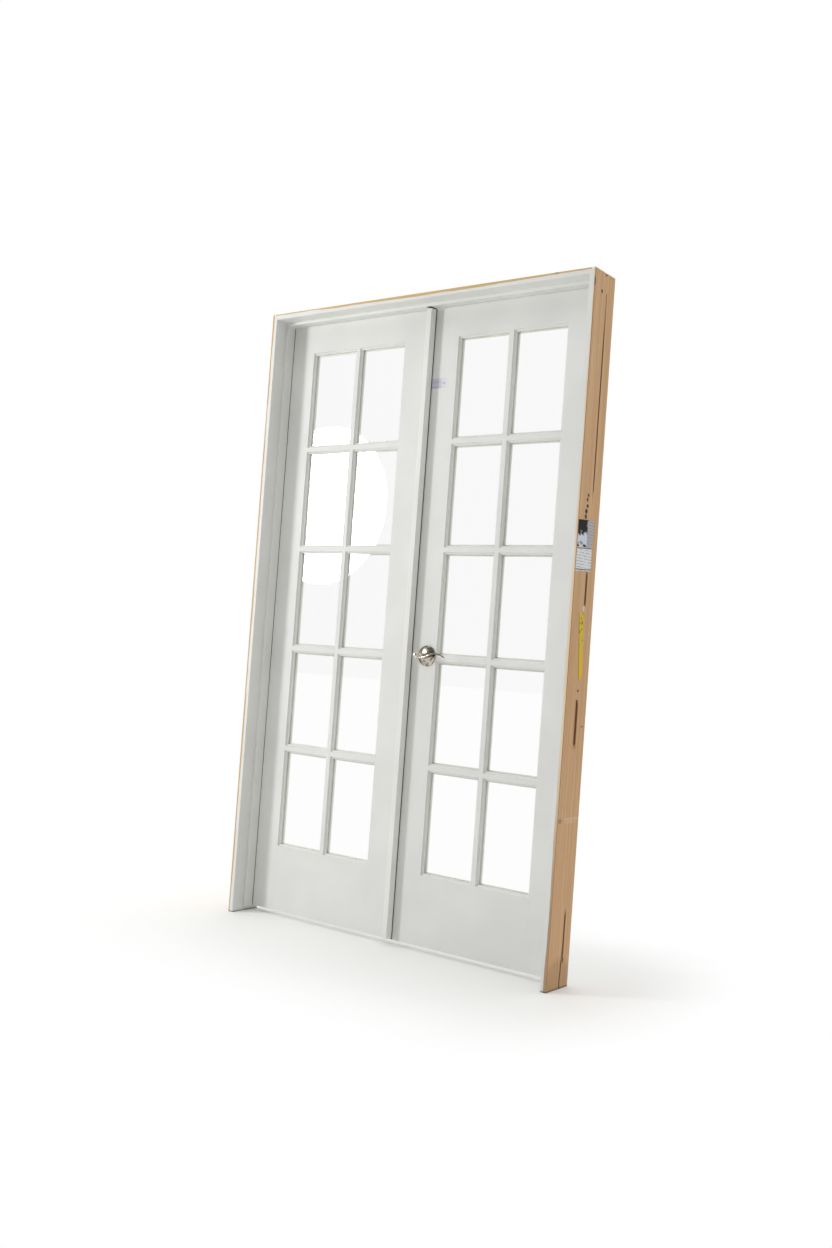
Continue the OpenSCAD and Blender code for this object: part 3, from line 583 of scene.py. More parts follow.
@dataclass(frozen=True)
class PackingTape(Finish):
    """Yellow vinyl packing tape: golden where it lies flat, paler and flecked where rubbed and wrinkled."""

    name: str
    golden: str = "#EBC000"
    rubbed: str = "#DEC21E"
    fleck: str = "#3F3A12"
    edge: str = "#8E7720"
    rubbed_from: float = 0.42
    rubbed_soft: float = 0.04
    fleck_mm: float = 9.0
    crease_mm: float = 6.0
    bump_mm: float = 0.4

    def shade(self, add: Adder) -> Socket:
        """Add the nodes and give the shader's socket."""
        across, up = on_print(add)
        limits = (self.rubbed_from - self.rubbed_soft, self.rubbed_from + self.rubbed_soft)
        worn = add("MapRange", up, *limits)
        spot = add("MapRange", patches(add, 2.0, self.fleck_mm), 0.60, 0.68, 0.0, 0.8, **SOFT)
        flecked = add("Math MULTIPLY", spot, worn)
        rim = add("MapRange", across, 0.04, 0.20, 0.7, 0.0, **SOFT)
        colour = self.golden
        for share, tone in ((worn, self.rubbed), (flecked, self.fleck), (rim, self.edge)):
            colour = add("Mix", share, named={FROM: colour, TO: tone}, **RGBA)
        crease = patches(add, 2.0, self.crease_mm)
        normal = add("Bump", named={"Strength": 0.4, "Distance": self.bump_mm * MM, "Height": crease})
        links = {"Base Color": colour, "Roughness": 0.5, "Specular IOR Level": 0.25, "Normal": normal}
        return add("BsdfPrincipled", named=links)


@dataclass(frozen=True)
class FilmSticker(Finish):
    """Tinted plastic film: a lavender-grey field with two faint bands, its right end paler with a smudge."""

    name: str
    field: str = "#CFCCD8"
    band: str = "#C2BECE"
    plain: str = "#DDDCE1"
    smudge: str = "#A9A2B6"
    smudge_at: Triple = (0.82, 0.5, 0.0)
    split_at: float = 0.66
    split_soft: float = 0.03
    bands: float = 2.0

    def shade(self, add: Adder) -> Socket:
        """Add the nodes and give the shader's socket."""
        across, up = on_print(add)
        angle = add("Math MULTIPLY", up, math.tau * self.bands)
        banded = add("MapRange", add("Math SINE", angle), -0.2, 0.8)
        right = add("MapRange", across, self.split_at - self.split_soft, self.split_at + self.split_soft)
        place = add("UVMap", uv_map="print")
        off = add("VectorMath DISTANCE", place, self.smudge_at, out="Value")
        near = add("MapRange", off, 0.05, 0.13, 0.7, 0.0, **SOFT)
        colour = self.field
        for share, tone in ((banded, self.band), (right, self.plain), (near, self.smudge)):
            colour = add("Mix", share, named={FROM: colour, TO: tone}, **RGBA)
        return add("BsdfPrincipled", named={"Base Color": colour, "Roughness": 0.32, "IOR": 1.46})


@dataclass(frozen=True)
class FloorPaint(Finish):
    """Pale floor that keeps the shadow near the doors and is plain white further off.

    The white grows with the distance from the line that the doors stand on, sooner past its two ends.
    """

    name: str
    tone: str = "#F8F8F6"
    base_half: float = 0.63
    white_from: float = 0.22
    white_to: float = 0.85
    side_haste: float = 1.9

    def shade(self, add: Adder) -> Socket:
        """Add the nodes and give the shader's socket."""
        place = add("VectorMath ABSOLUTE", add("TexCoord", out="Object"))
        beyond = add("VectorMath SUBTRACT", place, (self.base_half, 0.0, 0.0))
        beyond = add("VectorMath MAXIMUM", beyond, (0.0, 0.0, 0.0))
        beyond = add("VectorMath MULTIPLY", beyond, (self.side_haste, 1.0, 1.0))
        distance = add("VectorMath LENGTH", beyond, out="Value")
        far = add("MapRange", distance, self.white_from, self.white_to, **SOFT)
        plain = seen(add, add("LightPath", out="Is Glossy Ray"))
        share = add("Math MULTIPLY", far, plain)
        matt = add("BsdfPrincipled", named={"Base Color": self.tone, "Roughness": 0.9})
        return add("MixShader", share, matt, add("Emission", WHITE, 1.0))


PRIMER_UPRIGHT = PrimedWood("white_primer_upright_grain", Axis.Z)
PRIMER_LEVEL = PrimedWood("white_primer_level_grain", Axis.X)
# Astragal primer: the paler tones are a painted highlight on its proud front, and the tan box in its rebate
# is painted shade in the gap over the right leaf.
ASTRAGAL_PRIMER = PrimedWood("white_primer_bare_rebate", Axis.Z, "#EDEDEA", "#E6E6E2", painted_shade="#B9A88C",
                             painted_shade_mm=((-4.0, -12.45, 0.0), (20.0, -8.0, 2100.0)))
# Right lock stile: a dark stripe under the astragal's edge is painted shade in the meeting gap.
MEETING_PRIMER = PrimedWood("white_primer_rubbed_under_astragal", Axis.Z,
                            painted_shade_mm=((8.6, -9.0, 0.0), (13.6, -8.0, 2100.0)))
# Left hinge stile: a dark stripe next to the stop is painted shade in the gap behind it.
HINGE_PRIMER = PrimedWood("white_primer_rubbed_behind_stop", Axis.Z,
                          painted_shade_mm=((-606.5, -9.0, 0.0), (-603.3, -8.0, 2100.0)))
# Stops: their lowest few millimetres turn dark, a painted contact shadow at the floor.
FOOT_PRIMER = PrimedWood("white_primer_soiled_at_foot", Axis.Z, painted_shade="#57503F",
                         painted_shade_mm=((-640.0, -60.0, -1.0), (640.0, 10.0, 2.5)))
# Glazing beads: a primer paler than the rest, painted light on the bead faces seen through the glass.
BEAD_PRIMER = PrimedWood("white_primer_thin_on_beads", Axis.Z, "#F0F0E8", "#E6E6DC")
GLASS = FloatGlass("clear_float_glass")
# Nickel mottled between pale and dark brown: the dark patches are partly a painted reflection of dark
# surroundings, partly the plate's own uneven tone.
NICKEL = PlatedMetal("satin_nickel_plate", "#D2CBBF", "#6E6250", 0.17, cloud_mm=7.0)
# Lever nickel, paler, and darker towards the arm's tip: a painted dark reflection on the tip.
TIP_SHADED_NICKEL = PlatedMetal("satin_nickel_dulled_by_hands", "#E2DDD3", "#A1968A", 0.17, cloud_mm=9.0,
                             tip_shade_mm=(108.0, 130.0))
STEEL = PlatedMetal("zinc_plated_steel", "#B0B2B5", "#9C9EA2", 0.36)
BEECH = TurnedWood("beech_dowel")


def dress(node: str, finish: Finish) -> None:
    """Give a solid of the frame its finish.

    Args:
        node: name of the solid.
        finish: finish to put on all of it.
    """
    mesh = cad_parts[node].data
    mesh.materials.clear()
    mesh.materials.append(material_of(finish))
    log.info("dressed %s with %s", node, finish.name)


def wrapped_faces(rings: int, sides: int) -> np.ndarray:
    """Number the quads of a grid of rings, each closed on itself.

    Args:
        rings: how many rings follow each other.
        sides: how many points are on a ring.

    Returns:
        An array of quads, with point k * sides + j for point j of ring k.
    """
    k, j = np.meshgrid(np.arange(rings - 1), np.arange(sides), indexing="ij")
    a, b = k * sides + j, k * sides + (j + 1) % sides
    return np.stack([a, b, b + sides, a + sides], axis=-1).reshape(-1, 4)


def outward(points: np.ndarray, faces: list[list[int]]) -> list[list[int]]:
    """Turn the faces of a closed shell round if they point inwards.

    The volume under each fan of triangles, point dot cross product, sums to a negative number on a shell
    that is inside out.

    Args:
        points: places of the points.
        faces: point numbers of each face.

    Returns:
        The faces, pointing outwards.
    """
    tris = np.array([(f[0], f[i], f[i + 1]) for f in faces for i in range(1, len(f) - 1)])
    p = points - points.mean(axis=0)
    volume = np.einsum("ij,ij->", p[tris[:, 0]], np.cross(p[tris[:, 1]], p[tris[:, 2]]))
    return faces if volume > 0.0 else [f[::-1] for f in faces]


def make_piece(name: str, points: np.ndarray, faces: list[list[int]], finish: Finish, body: str,
               uv: np.ndarray | None = None) -> bpy.types.Object:
    """Put a closed surface into the scene, dress it and let it ride on a body.

    Args:
        name: name of the piece.
        points: places of its points, in metres.
        faces: point numbers of its faces.
        finish: its finish.
        body: body that carries it.
        uv: place of each point on the print, if its finish follows one.

    Returns:
        The new object.
    """
    mesh = bpy.data.meshes.new(name)
    mesh.from_pydata(points.tolist(), [], faces)
    mesh.polygons.foreach_set("use_smooth", np.ones(len(faces), dtype=bool))
    mesh.set_sharp_from_angle(angle=math.radians(SHARP_DEG))
    if uv is not None:
        corners = np.empty(len(mesh.loops), dtype=np.int32)
        mesh.loops.foreach_get("vertex_index", corners)
        mesh.uv_layers.new(name="print").data.foreach_set("uv", uv[corners].astype(np.float32).ravel())
    mesh.materials.append(material_of(finish))
    mesh.update()
    piece = bpy.data.objects.new(name, mesh)
    bpy.context.collection.objects.link(piece)
    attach(piece, body)
    log.info("made %s with %d faces, riding on %s", name, len(faces), body)
    return piece


@dataclass
class Sheet:
    """A thin sheet stuck on a flat face: four corners in the face's plane, with a curl and a ripple."""

    name: str
    corners_mm: Corners
    plane: Axis
    face_mm: float
    towards: float
    finish: Finish
    slot: str
    body: str
    thick_mm: float = 0.15
    lift_mm: float = 0.03
    curl_mm: float = 0.0
    ripple_mm: float = 0.0
    ripple_waves: float = 9.0
    ripple_slant: float = 2.5
    swell: Pair = (5.0, 1.0)
    columns: int = 14
    rows: int = 28

    def build(self) -> bpy.types.Object:
        """Make the sheet: a patch bent between its corners, closed by a second patch one thickness below.

        The corners run top left, top right, bottom right, bottom left, as seen from outside. A point is the
        straight blend of the corners. It stands off the face by the lift, by the curl times the fourth power
        of its distance from the middle and its place across, and by a wave that swells up the sheet.

        Returns:
            The new piece.
        """
        u, v = np.meshgrid(np.linspace(0.0, 1.0, self.columns), np.linspace(1.0, 0.0, self.rows))
        weight = np.stack([(1 - u) * v, u * v, u * (1 - v), (1 - u) * (1 - v)], axis=-1)
        flat = weight @ np.array(self.corners_mm)
        out_of_middle = np.maximum(np.abs(2 * u - 1), np.abs(2 * v - 1)) ** 4
        turn = math.tau * self.ripple_waves * v + self.ripple_slant * u
        wave = 0.5 + 0.5 * np.sin(turn) * np.sin(self.swell[0] * v + self.swell[1])
        base = self.lift_mm + self.curl_mm * out_of_middle * u + self.ripple_mm * wave
        shells = [self.placed(flat, base + self.thick_mm), self.placed(flat, base)]
        ring = np.concatenate([shells[0], shells[1][:, ::-1]], axis=1)
        prints = np.stack([u, v], axis=-1)
        uv = np.concatenate([prints, prints[:, ::-1]], axis=1).reshape(-1, 2)
        n = 2 * self.columns
        j = np.arange(self.columns - 1)
        cap = np.stack([j, j + 1, n - 2 - j, n - 1 - j], axis=-1)
        last = (self.rows - 1) * n
        quads = np.concatenate([wrapped_faces(self.rows, n), cap[:, ::-1], last + cap])
        points = ring.reshape(-1, 3) * MM
        faces = outward(points, quads.tolist())
        return make_piece(self.name, points, faces, self.finish, self.body, uv)

    def placed(self, flat: np.ndarray, off: np.ndarray) -> np.ndarray:
        """Put flat places and their distance from the face into the part's frame, in millimetres."""
        level = self.face_mm + self.towards * off
        if self.plane is Axis.X:
            return np.stack([level, flat[..., 0], flat[..., 1]], axis=-1)
        return np.stack([flat[..., 0], level, flat[..., 1]], axis=-1)


# Knots, cuts, stains and spots on the raw wood: place along and from the front, half sizes, colour, strength.
SCORCH, PITCH, SAPLESS, GRIME, RENT = "#70400F", "#241A12", "#F0DFBE", "#8A6A48", "#3E2A18"
RIGHT_MARKS = (
    Mark(81.0, 85.0, 9.0, 4.0, "#4A3020"),
    Mark(1677.0, 76.0, 245.0, 3.9, SCORCH, 0.9, MarkShape.LINE),
    Mark(1149.5, 72.0, 50.0, 6.2, SCORCH, 0.95, MarkShape.LINE),
    Mark(758.0, 66.0, 66.0, 7.5, SCORCH, 0.95, MarkShape.LINE),
    Mark(150.0, 81.5, 72.0, 4.6, SCORCH, 0.95, MarkShape.LINE),
    Mark(28.0, 58.0, 62.0, 70.0, GRIME, 0.3),
    Mark(20.0, 72.2, 22.0, 2.8, RENT, 0.85, MarkShape.LINE),
    Mark(57.0, 74.4, 22.0, 2.8, RENT, 0.85, MarkShape.LINE),
    Mark(855.0, 66.0, 4.2, 4.6, PITCH, 0.95),
    Mark(752.0, 103.0, 2.5, 9.0, SCORCH, 0.6),
    Mark(487.0, 80.0, 5.0, 46.0, SAPLESS, 0.25),
    Mark(478.0, 70.0, 4.0, 34.0, SAPLESS, 0.22),
    Mark(483.0, 14.0, 8.0, 11.0, GRIME, 0.5),
    Mark(2012.0, 47.6, 6.0, 5.0, PITCH, 0.9),
    Mark(2030.0, 2.0, 14.0, 6.0, "#5A3F22", 0.8),
    Mark(1419.0, 50.5, 5.4, 5.6, PITCH, 0.85),
    Mark(1406.0, 46.5, 6.4, 5.6, PITCH, 0.85),
    Mark(1387.5, 49.5, 5.6, 6.2, PITCH, 0.95),
    Mark(1372.0, 44.0, 7.4, 7.4, PITCH, 1.0),
    Mark(1356.5, 43.0, 7.8, 6.6, PITCH, 0.95),
)
HEAD_MARKS = (Mark(505.0, 1.0, 8.0, 5.0, "#6A4A30"),)
HEAD_TONES = {"early": "#E8CB9C", "heart": "#DDBC8C", "late": "#CBA472", "arris": "#CBA472",
              "strip": "#CDAA70"}


@dataclass
class JambFrame:
    """The fixed frame: two side jambs, the head jamb, their stops and the jamb half of each hinge."""

    left_raw_mm: Triple = (5.5, 5.5, 5.5)
    right_raw_mm: Triple = (7.0, 8.5, 2.0)
    head_raw_mm: Triple = (4.0, 9.0, 5.5)
    left_foot_shade_mm: float = 6.0
    right_foot_shade_mm: float = 7.0
    right_browned_foot_mm: float = 700.0
    shade_span_mm: Pair = (-7.5, 13.5)
    shade_from_mm: float = 3.0
    picture_mm: Corners = ((-90.5, 1344.0), (2.5, 1350.5), (-2.5, 1272.0), (-89.5, 1266.3))
    ruled_mm: Corners = ((-89.8, 1266.0), (-4.3, 1271.5), (-3.3, 1201.4), (-90.4, 1197.0))
    tape_mm: Corners = ((-53.0, 1078.0), (-26.0, 1083.0), (-10.5, 894.0), (-30.5, 884.0))
    fray_mm: Corners = ((-34.0, 1098.0), (-23.0, 1101.0), (-24.0, 1086.0), (-33.0, 1084.0))

    def build(self) -> None:
        """Dress every piece of the frame, then stick on what is stuck to the right jamb."""
        left = {"strip": "#C4A262", "foot_shade_mm": self.left_foot_shade_mm}
        right = {"foot_shade_mm": self.right_foot_shade_mm, "browned_foot_mm": self.right_browned_foot_mm}
        self.jamb("left_jamb", Axis.Z, Axis.X, self.left_raw_mm, (), **left)
        self.jamb("right_jamb", Axis.Z, Axis.X, self.right_raw_mm, RIGHT_MARKS, **right)
        self.jamb("head_jamb", Axis.X, Axis.Z, self.head_raw_mm, HEAD_MARKS, **HEAD_TONES)
        for node in ("left_stop", "right_stop"):
            dress(node, FOOT_PRIMER)
        # The head stop's underside above the astragal's top end turns dark: painted shade in the gap over the
        # astragal.
        low, high = (np.array(corner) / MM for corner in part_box("head_stop"))
        start, end = self.shade_span_mm
        rubbed = ((start, low[1] + self.shade_from_mm, low[2] - 1.0), (end, high[1] + 1.0, low[2] + 1.0))
        over = PrimedWood("white_primer_rubbed_over_astragal", Axis.X, painted_shade="#5B534A", painted_shade_mm=rubbed)
        dress("head_stop", over)
        for node in ("head_nails", "jamb_hinge_screws"):
            dress(node, STEEL)
        for side in Side:
            dress(f"{side.word}_hinge_pins", NICKEL)
            for place in HINGE_PLACES:
                dress(f"{side.word}_{place}_hinge_jamb_plate", NICKEL)
        self.stuck_on()

    @staticmethod
    def jamb(node: str, axis: Axis, outer: Axis, raw_mm: Triple, marks: tuple[Mark, ...],
             **own: str | float) -> None:
        """Dress one jamb in pine, with its raw faces found from its own box.

        Args:
            node: name of the solid.
            axis: direction of its length.
            outer: direction of its raw back.
            raw_mm: width of the raw strip at its start, middle and end.
            marks: knots, stains and scuffs on the raw wood.
            own: colours and sizes of this board where they differ from the usual ones.
        """
        low, high = (np.array(corner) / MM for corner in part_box(node))
        at = float(max(abs(low[outer.value]), abs(high[outer.value])))
        span = (float(low[axis.value]), float(high[axis.value]))
        sides = (float(low[1]), float(high[1]))
        dress(node, JambPine(f"{node}_pine", axis, outer, at, *sides, span, raw_mm, marks=marks, **own))

    def stuck_on(self) -> None:
        """Stick the printed leaflet and the strip of tape on the back of the right jamb."""
        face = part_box("right_jamb")[1][0] / MM
        common = {"plane": Axis.X, "face_mm": face, "towards": 1.0, "slot": "jamb_pine", "body": "frame"}
        picture, lines = PictureSheet("coated_paper_dark_print"), RuledSheet("coated_paper_grey_print")
        tape = PackingTape("yellow_vinyl_tape")
        torn = PrimedWood("torn_paper_fibres", Axis.Z, "#E3DED2", "#C9BEA8")
        Sheet("leaflet_picture_half", self.picture_mm, finish=picture, curl_mm=0.6, **common).build()
        Sheet("leaflet_ruled_half", self.ruled_mm, finish=lines, curl_mm=0.4, **common).build()
        Sheet("packing_tape", self.tape_mm, finish=tape, ripple_mm=0.5, rows=60, **common).build()
        Sheet("torn_paper", self.fray_mm, finish=torn, curl_mm=0.8, **common).build()


@dataclass
class Panes:
    """The panes of one leaf: flat plates with seamed edges, each a hair clear of its rebate and its beads."""

    side: Side
    clear_mm: float = 0.15
    seam_mm: float = 0.4

    def build(self) -> None:
        """Make the panes where their solids are, and put them in the solids' place.

        The solids' corners give the columns and rows. A pane is four rings of four corners: the outline drawn
        in by the seam, the outline twice, and the drawn-in outline again.
        """
        word = self.side.word
        node = f"{word}_glass_panes"
        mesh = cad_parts[node].data
        corners = np.empty(3 * len(mesh.vertices))
        mesh.vertices.foreach_get("co", corners)
        levels = [np.unique(np.round(axis, 4)) for axis in corners.reshape(-1, 3).T]
        inward = np.array([self.clear_mm, -self.clear_mm]) * MM
        x, z = (levels[i].reshape(-1, 2) + inward for i in (0, 2))
        y = levels[1] + inward
        seam = self.seam_mm * MM
        inset = np.array([seam, 0.0, 0.0, seam])[:, None]
        depth = np.array([y[0], y[0] + seam, y[1] - seam, y[1]])[:, None]
        right, top = np.array([0, 1, 1, 0]), np.array([0, 0, 1, 1])
        px = x[:, None, None, right] + inset * (1 - 2 * right)
        pz = z[None, :, None, top] + inset * (1 - 2 * top)
        plates = np.stack(np.broadcast_arrays(px, depth, pz), axis=-1).reshape(-1, 16, 3)
        quads = wrapped_faces(4, 4).tolist() + [[3, 2, 1, 0], [12, 13, 14, 15]]
        one = np.array(outward(plates[0], quads))
        faces = (np.arange(len(plates))[:, None, None] * 16 + one).reshape(-1, 4)
        points, faces = plates.reshape(-1, 3), faces.tolist()
        piece = make_piece(f"{word}_clear_panes", points, faces, GLASS, f"{word}_leaf")
        piece.visible_shadow = False
        piece.visible_diffuse = False
        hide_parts(node)


@dataclass
class Leaf:
    """One glazed leaf: stiles, rails, muntins, panes, beads and its half of each hinge."""

    side: Side

    def build(self) -> None:
        """Dress every piece of the leaf."""
        word = self.side.word
        left = self.side is Side.LEFT
        dress(f"{word}_hinge_stile", HINGE_PRIMER if left else PRIMER_UPRIGHT)
        dress(f"{word}_lock_stile", PRIMER_UPRIGHT if left else MEETING_PRIMER)
        dress(f"{word}_upright_muntin", PRIMER_UPRIGHT)
        for piece in ("top_rail", "bottom_rail", "cross_muntins"):
            dress(f"{word}_{piece}", PRIMER_LEVEL)
        dress(f"{word}_glazing_beads", BEAD_PRIMER)
        dress(f"{word}_glass_panes", GLASS)
        Panes(self.side).build()
        dress(f"{word}_rail_dowels", BEECH)
        dress(f"{word}_leaf_hinge_screws", STEEL)
        for place in HINGE_PLACES:
            dress(f"{word}_{place}_hinge_leaf_plate", NICKEL)


@dataclass
class Lever:
    """A cast lever: a round neck with a domed end, and a slim arm that dips, rises to a crest and droops."""

    face: Face
    length_mm: float = 113.0
    wave_mm: float = 8.0
    root_mm: float = 9.0
    tip_mm: float = 5.0
    thick_mm: float = 8.0
    neck_mm: float = 10.0
    dip_at: float = 0.19
    crest_at: float = 0.66
    dip: float = 0.8
    crest: float = 1.1
    droop: float = 0.25
    root_round: float = 0.09
    tip_round: float = 0.07
    taper_to: float = 0.7
    least: float = 0.02
    dome_share: float = 0.99
    dome_rings: int = 16
    wall_rings: int = 5
    rings: int = 120
    sides: int = 48

    def build(self) -> None:
        """Make the lever where its solid is, and put it in the solid's place."""
        node = f"{self.face.word}_lever"
        low, high = (np.array(corner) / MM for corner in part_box(node))
        axis = np.mean(np.array(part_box("spindle")), axis=0) / MM
        foot, end = (high[1], low[1]) if self.face is Face.FRONT else (low[1], high[1])
        arm = self.arm(axis, end - self.face.value * 0.5 * self.thick_mm)
        neck = self.neck(axis, foot, end)
        arm_faces = self.capped(self.rings)
        neck_faces = outward(neck, self.capped(len(neck) // self.sides))
        faces = outward(arm, arm_faces) + [[p + len(arm) for p in f] for f in neck_faces]
        points = np.concatenate([arm, neck]) * MM
        piece = make_piece(f"smooth_{node}", points, faces, TIP_SHADED_NICKEL, "lever_pair")
        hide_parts(node)

    def capped(self, rings: int) -> list[list[int]]:
        """Number the quads of rings that follow each other, and close both ends."""
        last = (rings - 1) * self.sides
        ends = [list(range(self.sides))[::-1], list(range(last, last + self.sides))]
        return wrapped_faces(rings, self.sides).tolist() + ends

    @staticmethod
    def ease(t: np.ndarray) -> np.ndarray:
        """Smooth step from 0 to 1: three squares less two cubes."""
        t = np.clip(t, 0.0, 1.0)
        return t * t * (3.0 - 2.0 * t)

    def rise(self, s: np.ndarray) -> np.ndarray:
        """Height of the arm's middle: a smooth dip, a smooth climb to the crest, then a falling parabola."""
        down = -self.dip * self.ease(s / self.dip_at)
        up = (self.dip + self.crest) * self.ease((s - self.dip_at) / (self.crest_at - self.dip_at)) - self.dip
        over = self.crest - (self.crest + self.droop) * ((s - self.crest_at) / (1.0 - self.crest_at)) ** 2
        return self.wave_mm * np.where(s < self.dip_at, down, np.where(s < self.crest_at, up, over))

    def arm(self, axis: np.ndarray, middle: float) -> np.ndarray:
        """Carry an oval along the arm's curve: it tapers smoothly and closes in a quarter round at both ends.

        Args:
            axis: place of the lever's axis, in millimetres.
            middle: place of the arm's middle along Y, in millimetres.

        Returns:
            The places of the points, ring by ring, in millimetres.
        """
        even = 0.5 * (1.0 - np.cos(np.linspace(0.0, math.pi, self.rings)))
        s = -self.root_round + (1.0 + self.root_round) * even
        start = np.minimum(s, 0.0) / self.root_round
        stop = np.maximum(s - 1.0 + self.tip_round, 0.0) / self.tip_round
        close = np.sqrt(np.clip(1.0 - np.maximum(start ** 2, stop ** 2), self.least ** 2, 1.0))[:, None]
        half = 0.5 * (self.root_mm + (self.tip_mm - self.root_mm) * self.ease(s / self.taper_to))[:, None]
        a = np.linspace(0.0, math.tau, self.sides, endpoint=False)[None, :]
        x = axis[0] + np.repeat(s[:, None] * self.length_mm, self.sides, axis=1)
        y = middle + 0.5 * self.thick_mm * close * np.cos(a)
        z = axis[2] + self.rise(s)[:, None] + half * close * np.sin(a)
        return np.stack([x, y, z], axis=-1).reshape(-1, 3)

    def neck(self, axis: np.ndarray, foot: float, end: float) -> np.ndarray:
        """Turn the neck's outline about the lever's axis: a straight side, then a quarter oval as its dome.

        Args:
            axis: place of the lever's axis, in millimetres.
            foot: place of the neck's foot along Y.
            end: place of the dome's top along Y.

        Returns:
            The places of the points, ring by ring, in millimetres.
        """
        turn = np.linspace(0.0, 0.5 * math.pi * self.dome_share, self.dome_rings)
        edge = end - self.face.value * 0.5 * self.thick_mm
        wall = np.linspace(foot, edge, self.wall_rings, endpoint=False)
        y = np.concatenate([wall, edge + (end - edge) * np.sin(turn)])[:, None]
        r = np.concatenate([np.full(self.wall_rings, self.neck_mm), self.neck_mm * np.cos(turn)])[:, None]
        a = np.linspace(0.0, math.tau, self.sides, endpoint=False)[None, :]
        grid = np.broadcast_arrays(axis[0] + r * np.cos(a), y, axis[2] + r * np.sin(a))
        return np.stack(grid, axis=-1).reshape(-1, 3)


@dataclass
class Astragal:
    """The strip over the meeting gap: a square batten, rebated behind the side that laps the other leaf."""

    left_mm: float = -5.8
    right_mm: float = 13.0
    depth_mm: float = 29.5
    arris_mm: float = 0.8
    rebate_from_mm: float = -2.0
    rebate_mm: float = 4.0
    rows: int = 9

    def build(self) -> None:
        """Carry the outline straight up the height of the solid, and put the strip in the solid's place.

        The outline runs round the section: left side, front and its two arrises, right side, rebate, back.
        """
        low, high = (np.array(corner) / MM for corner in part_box("astragal"))
        seat, front, small = high[1], high[1] - self.depth_mm, self.arris_mm
        step = seat - self.rebate_mm
        outline = np.array([
            (self.left_mm, seat), (self.left_mm, front + small), (self.left_mm + small, front),
            (self.right_mm - small, front), (self.right_mm, front + small), (self.right_mm, step),
            (self.rebate_from_mm, step), (self.rebate_from_mm, seat),
        ])
        n = len(outline)
        levels = np.repeat(np.linspace(low[2], high[2], self.rows), n)
        points = np.column_stack([np.tile(outline, (self.rows, 1)), levels]) * MM
        last = (self.rows - 1) * n
        ends = [[0, 1, 2, 3, 6, 7], [3, 4, 5, 6]]
        caps = [f[::-1] for f in ends] + [[last + i for i in f] for f in ends]
        faces = outward(points, wrapped_faces(self.rows, n).tolist() + caps)
        piece = make_piece("square_astragal", points, faces, ASTRAGAL_PRIMER, "left_leaf")
        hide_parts("astragal")


@dataclass
class MeetingHardware:
    """What holds the two leaves shut: astragal, flush bolts, strike, latch and lever set."""

    sticker_mm: Corners = ((14.2, 1814.0), (71.0, 1814.0), (71.0, 1781.0), (14.2, 1781.0))

    def build(self) -> None:
        """Dress every piece, make the smooth levers and stick the film on the lock stile."""
        dress("astragal", ASTRAGAL_PRIMER)
        for node in ("strike_plate", "top_flush_plate", "top_flush_rod", "bottom_flush_plate",
                     "bottom_flush_rod", "latch_face_plate", "latch_bolt", "front_rose", "rear_rose",
                     "front_lever", "rear_lever"):
            dress(node, NICKEL)
        for node in ("latch_case", "rose_screws", "spindle"):
            dress(node, STEEL)
        Astragal().build()
        for face in Face:
            Lever(face).build()
        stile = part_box("right_lock_stile")[0][1] / MM
        Sheet("film_sticker", self.sticker_mm, Axis.Y, stile, -1.0, FilmSticker("lavender_plastic_film"),
              "primed_wood", "right_leaf").build()


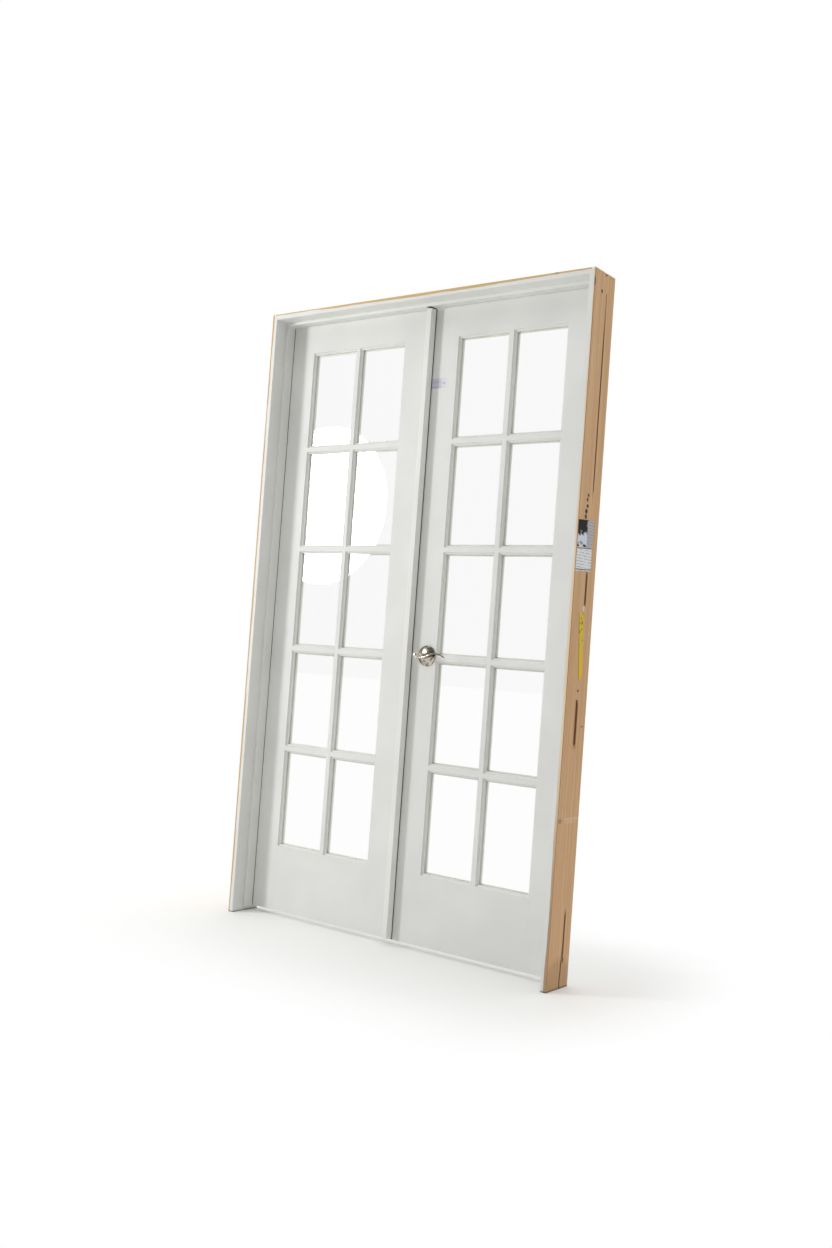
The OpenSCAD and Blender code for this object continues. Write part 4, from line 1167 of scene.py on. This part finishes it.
@dataclass
class Studio:
    """A pale floor, a white backdrop, soft light and the camera."""

    azimuth_deg: float = 36.931
    elevation_deg: float = -1.493
    roll_deg: float = 4.139
    focus_px: float = 1217.12
    picture_high_px: float = 1248.0
    sensor_mm: float = 36.0
    stand: Triple = (2.3569, -3.1188, 0.9221)
    floor_half: float = 30.0
    behind_level: float = 1.0
    behind_y: Pair = (0.25, 0.75)
    front: Pair = (0.08, 0.6)
    front_z: Pair = (0.1, 0.9)
    left_level: float = 0.25
    left_x: Pair = (-0.4, -0.95)
    left_z: Pair = (0.1, 0.5)
    key_place: Triple = (-3.58, -3.55, 1.973)
    key_target: Triple = (-3.58, 0.0, 1.973)
    key_power: float = 138.0
    key_size: float = 1.164
    top_power: float = 130.0
    top_size: float = 8.0
    top_height: float = 4.5
    top_y: float = -0.6

    def build(self) -> None:
        """Set the view, the world, the floor, the lamps and the camera."""
        bpy.context.scene.view_settings.view_transform = "Standard"
        self.backdrop()
        self.floor()
        self.lamp("key_softbox", self.key_place, self.key_target, self.key_power, self.key_size, "DISK")
        above, below = (0.0, self.top_y, self.top_height), (0.0, self.top_y, 0.0)
        self.lamp("top_softbox", above, below, self.top_power, self.top_size, "SQUARE")
        self.camera()

    def backdrop(self) -> None:
        """Light the scene from a white backdrop behind the doors and a dimmer room before them."""
        world = bpy.data.worlds.new("white_backdrop")
        world.use_nodes = True
        bpy.context.scene.world = world
        world.node_tree.nodes.clear()
        add = functools.partial(add_node, world.node_tree)
        way = add("TexCoord", out="Generated")
        x, y, z = (add("SeparateXYZ", way, out=i) for i in range(3))
        room = add("MapRange", z, *self.front_z, *self.front, **SOFT)
        left = add("MapRange", x, *self.left_x, 0.0, self.left_level, **SOFT)
        high = add("MapRange", z, *self.left_z, **SOFT)
        before = add("Math MULTIPLY_ADD", left, high, room)
        behind = add("MapRange", y, *self.behind_y, **SOFT)
        level = add("Mix", behind, named={LOW: before, HIGH: self.behind_level}, data_type="FLOAT")
        glossy = add("LightPath", out="Is Glossy Ray")
        plain = seen(add, add("Math MULTIPLY", glossy, behind))
        strength = add("Mix", plain, named={LOW: level, HIGH: 1.0}, data_type="FLOAT")
        add("OutputWorld", add("Background", WHITE, strength))

    def floor(self) -> None:
        """Lay the floor as one wide square."""
        half = self.floor_half
        corners = [[-half, -half, 0.0], [half, -half, 0.0], [half, half, 0.0], [-half, half, 0.0]]
        mesh = bpy.data.meshes.new("studio_floor")
        mesh.from_pydata(corners, [], [[0, 1, 2, 3]])
        mesh.materials.append(material_of(FloorPaint("pale_floor_paint")))
        floor = bpy.data.objects.new("studio_floor", mesh)
        bpy.context.collection.objects.link(floor)

    def lamp(self, name: str, place: Triple, target: Triple, power: float, size: float, shape: str) -> None:
        """Hang one soft lamp that points at a target.

        Args:
            name: name of the lamp.
            place: where it hangs, in metres.
            target: what it points at.
            power: its power in watts.
            size: its width in metres.
            shape: shape of its face.
        """
        data = bpy.data.lights.new(name, "AREA")
        data.energy = power
        data.size = size
        data.shape = shape
        lamp = bpy.data.objects.new(name, data)
        back = np.array(place) - np.array(target)
        back = back / np.linalg.norm(back)
        side = np.cross((0.0, 1.0, 0.0) if abs(back[2]) > 0.9 else (0.0, 0.0, 1.0), back)
        side = side / np.linalg.norm(side)
        lamp.matrix_world = self.turned(side, np.cross(back, side), back, place)
        bpy.context.collection.objects.link(lamp)

    @staticmethod
    def turned(right: np.ndarray, up: np.ndarray, back: np.ndarray, place: Triple) -> Matrix:
        """Put three axes and a place into one matrix."""
        rows = np.vstack([np.column_stack([right, up, back, place]), [0.0, 0.0, 0.0, 1.0]])
        return Matrix(rows.tolist())

    def camera(self) -> None:
        """Set the camera where the picture was taken from, with its slight roll."""
        turn, tilt, roll = (math.radians(a) for a in (self.azimuth_deg, self.elevation_deg, self.roll_deg))
        back = np.array([math.sin(turn) * math.cos(tilt), -math.cos(turn) * math.cos(tilt), math.sin(tilt)])
        level = np.array([math.cos(turn), math.sin(turn), 0.0])
        upright = np.cross(back, level)
        right = math.cos(roll) * level + math.sin(roll) * upright
        up = math.cos(roll) * upright - math.sin(roll) * level
        data = bpy.data.cameras.new("view_camera")
        data.sensor_fit = "VERTICAL"
        data.sensor_height = self.sensor_mm
        data.lens = self.focus_px / self.picture_high_px * self.sensor_mm
        camera = bpy.data.objects.new("view_camera", data)
        camera.matrix_world = self.turned(right, up, back, self.stand)
        bpy.context.collection.objects.link(camera)
        bpy.context.scene.camera = camera


def main() -> None:
    """Build each sub-assembly in order, then the studio."""
    logging.basicConfig(level=logging.INFO, format="%(message)s")
    JambFrame().build()
    for side in Side:
        Leaf(side).build()
    MeetingHardware().build()
    Studio().build()


if __name__ == "__main__":
    main()
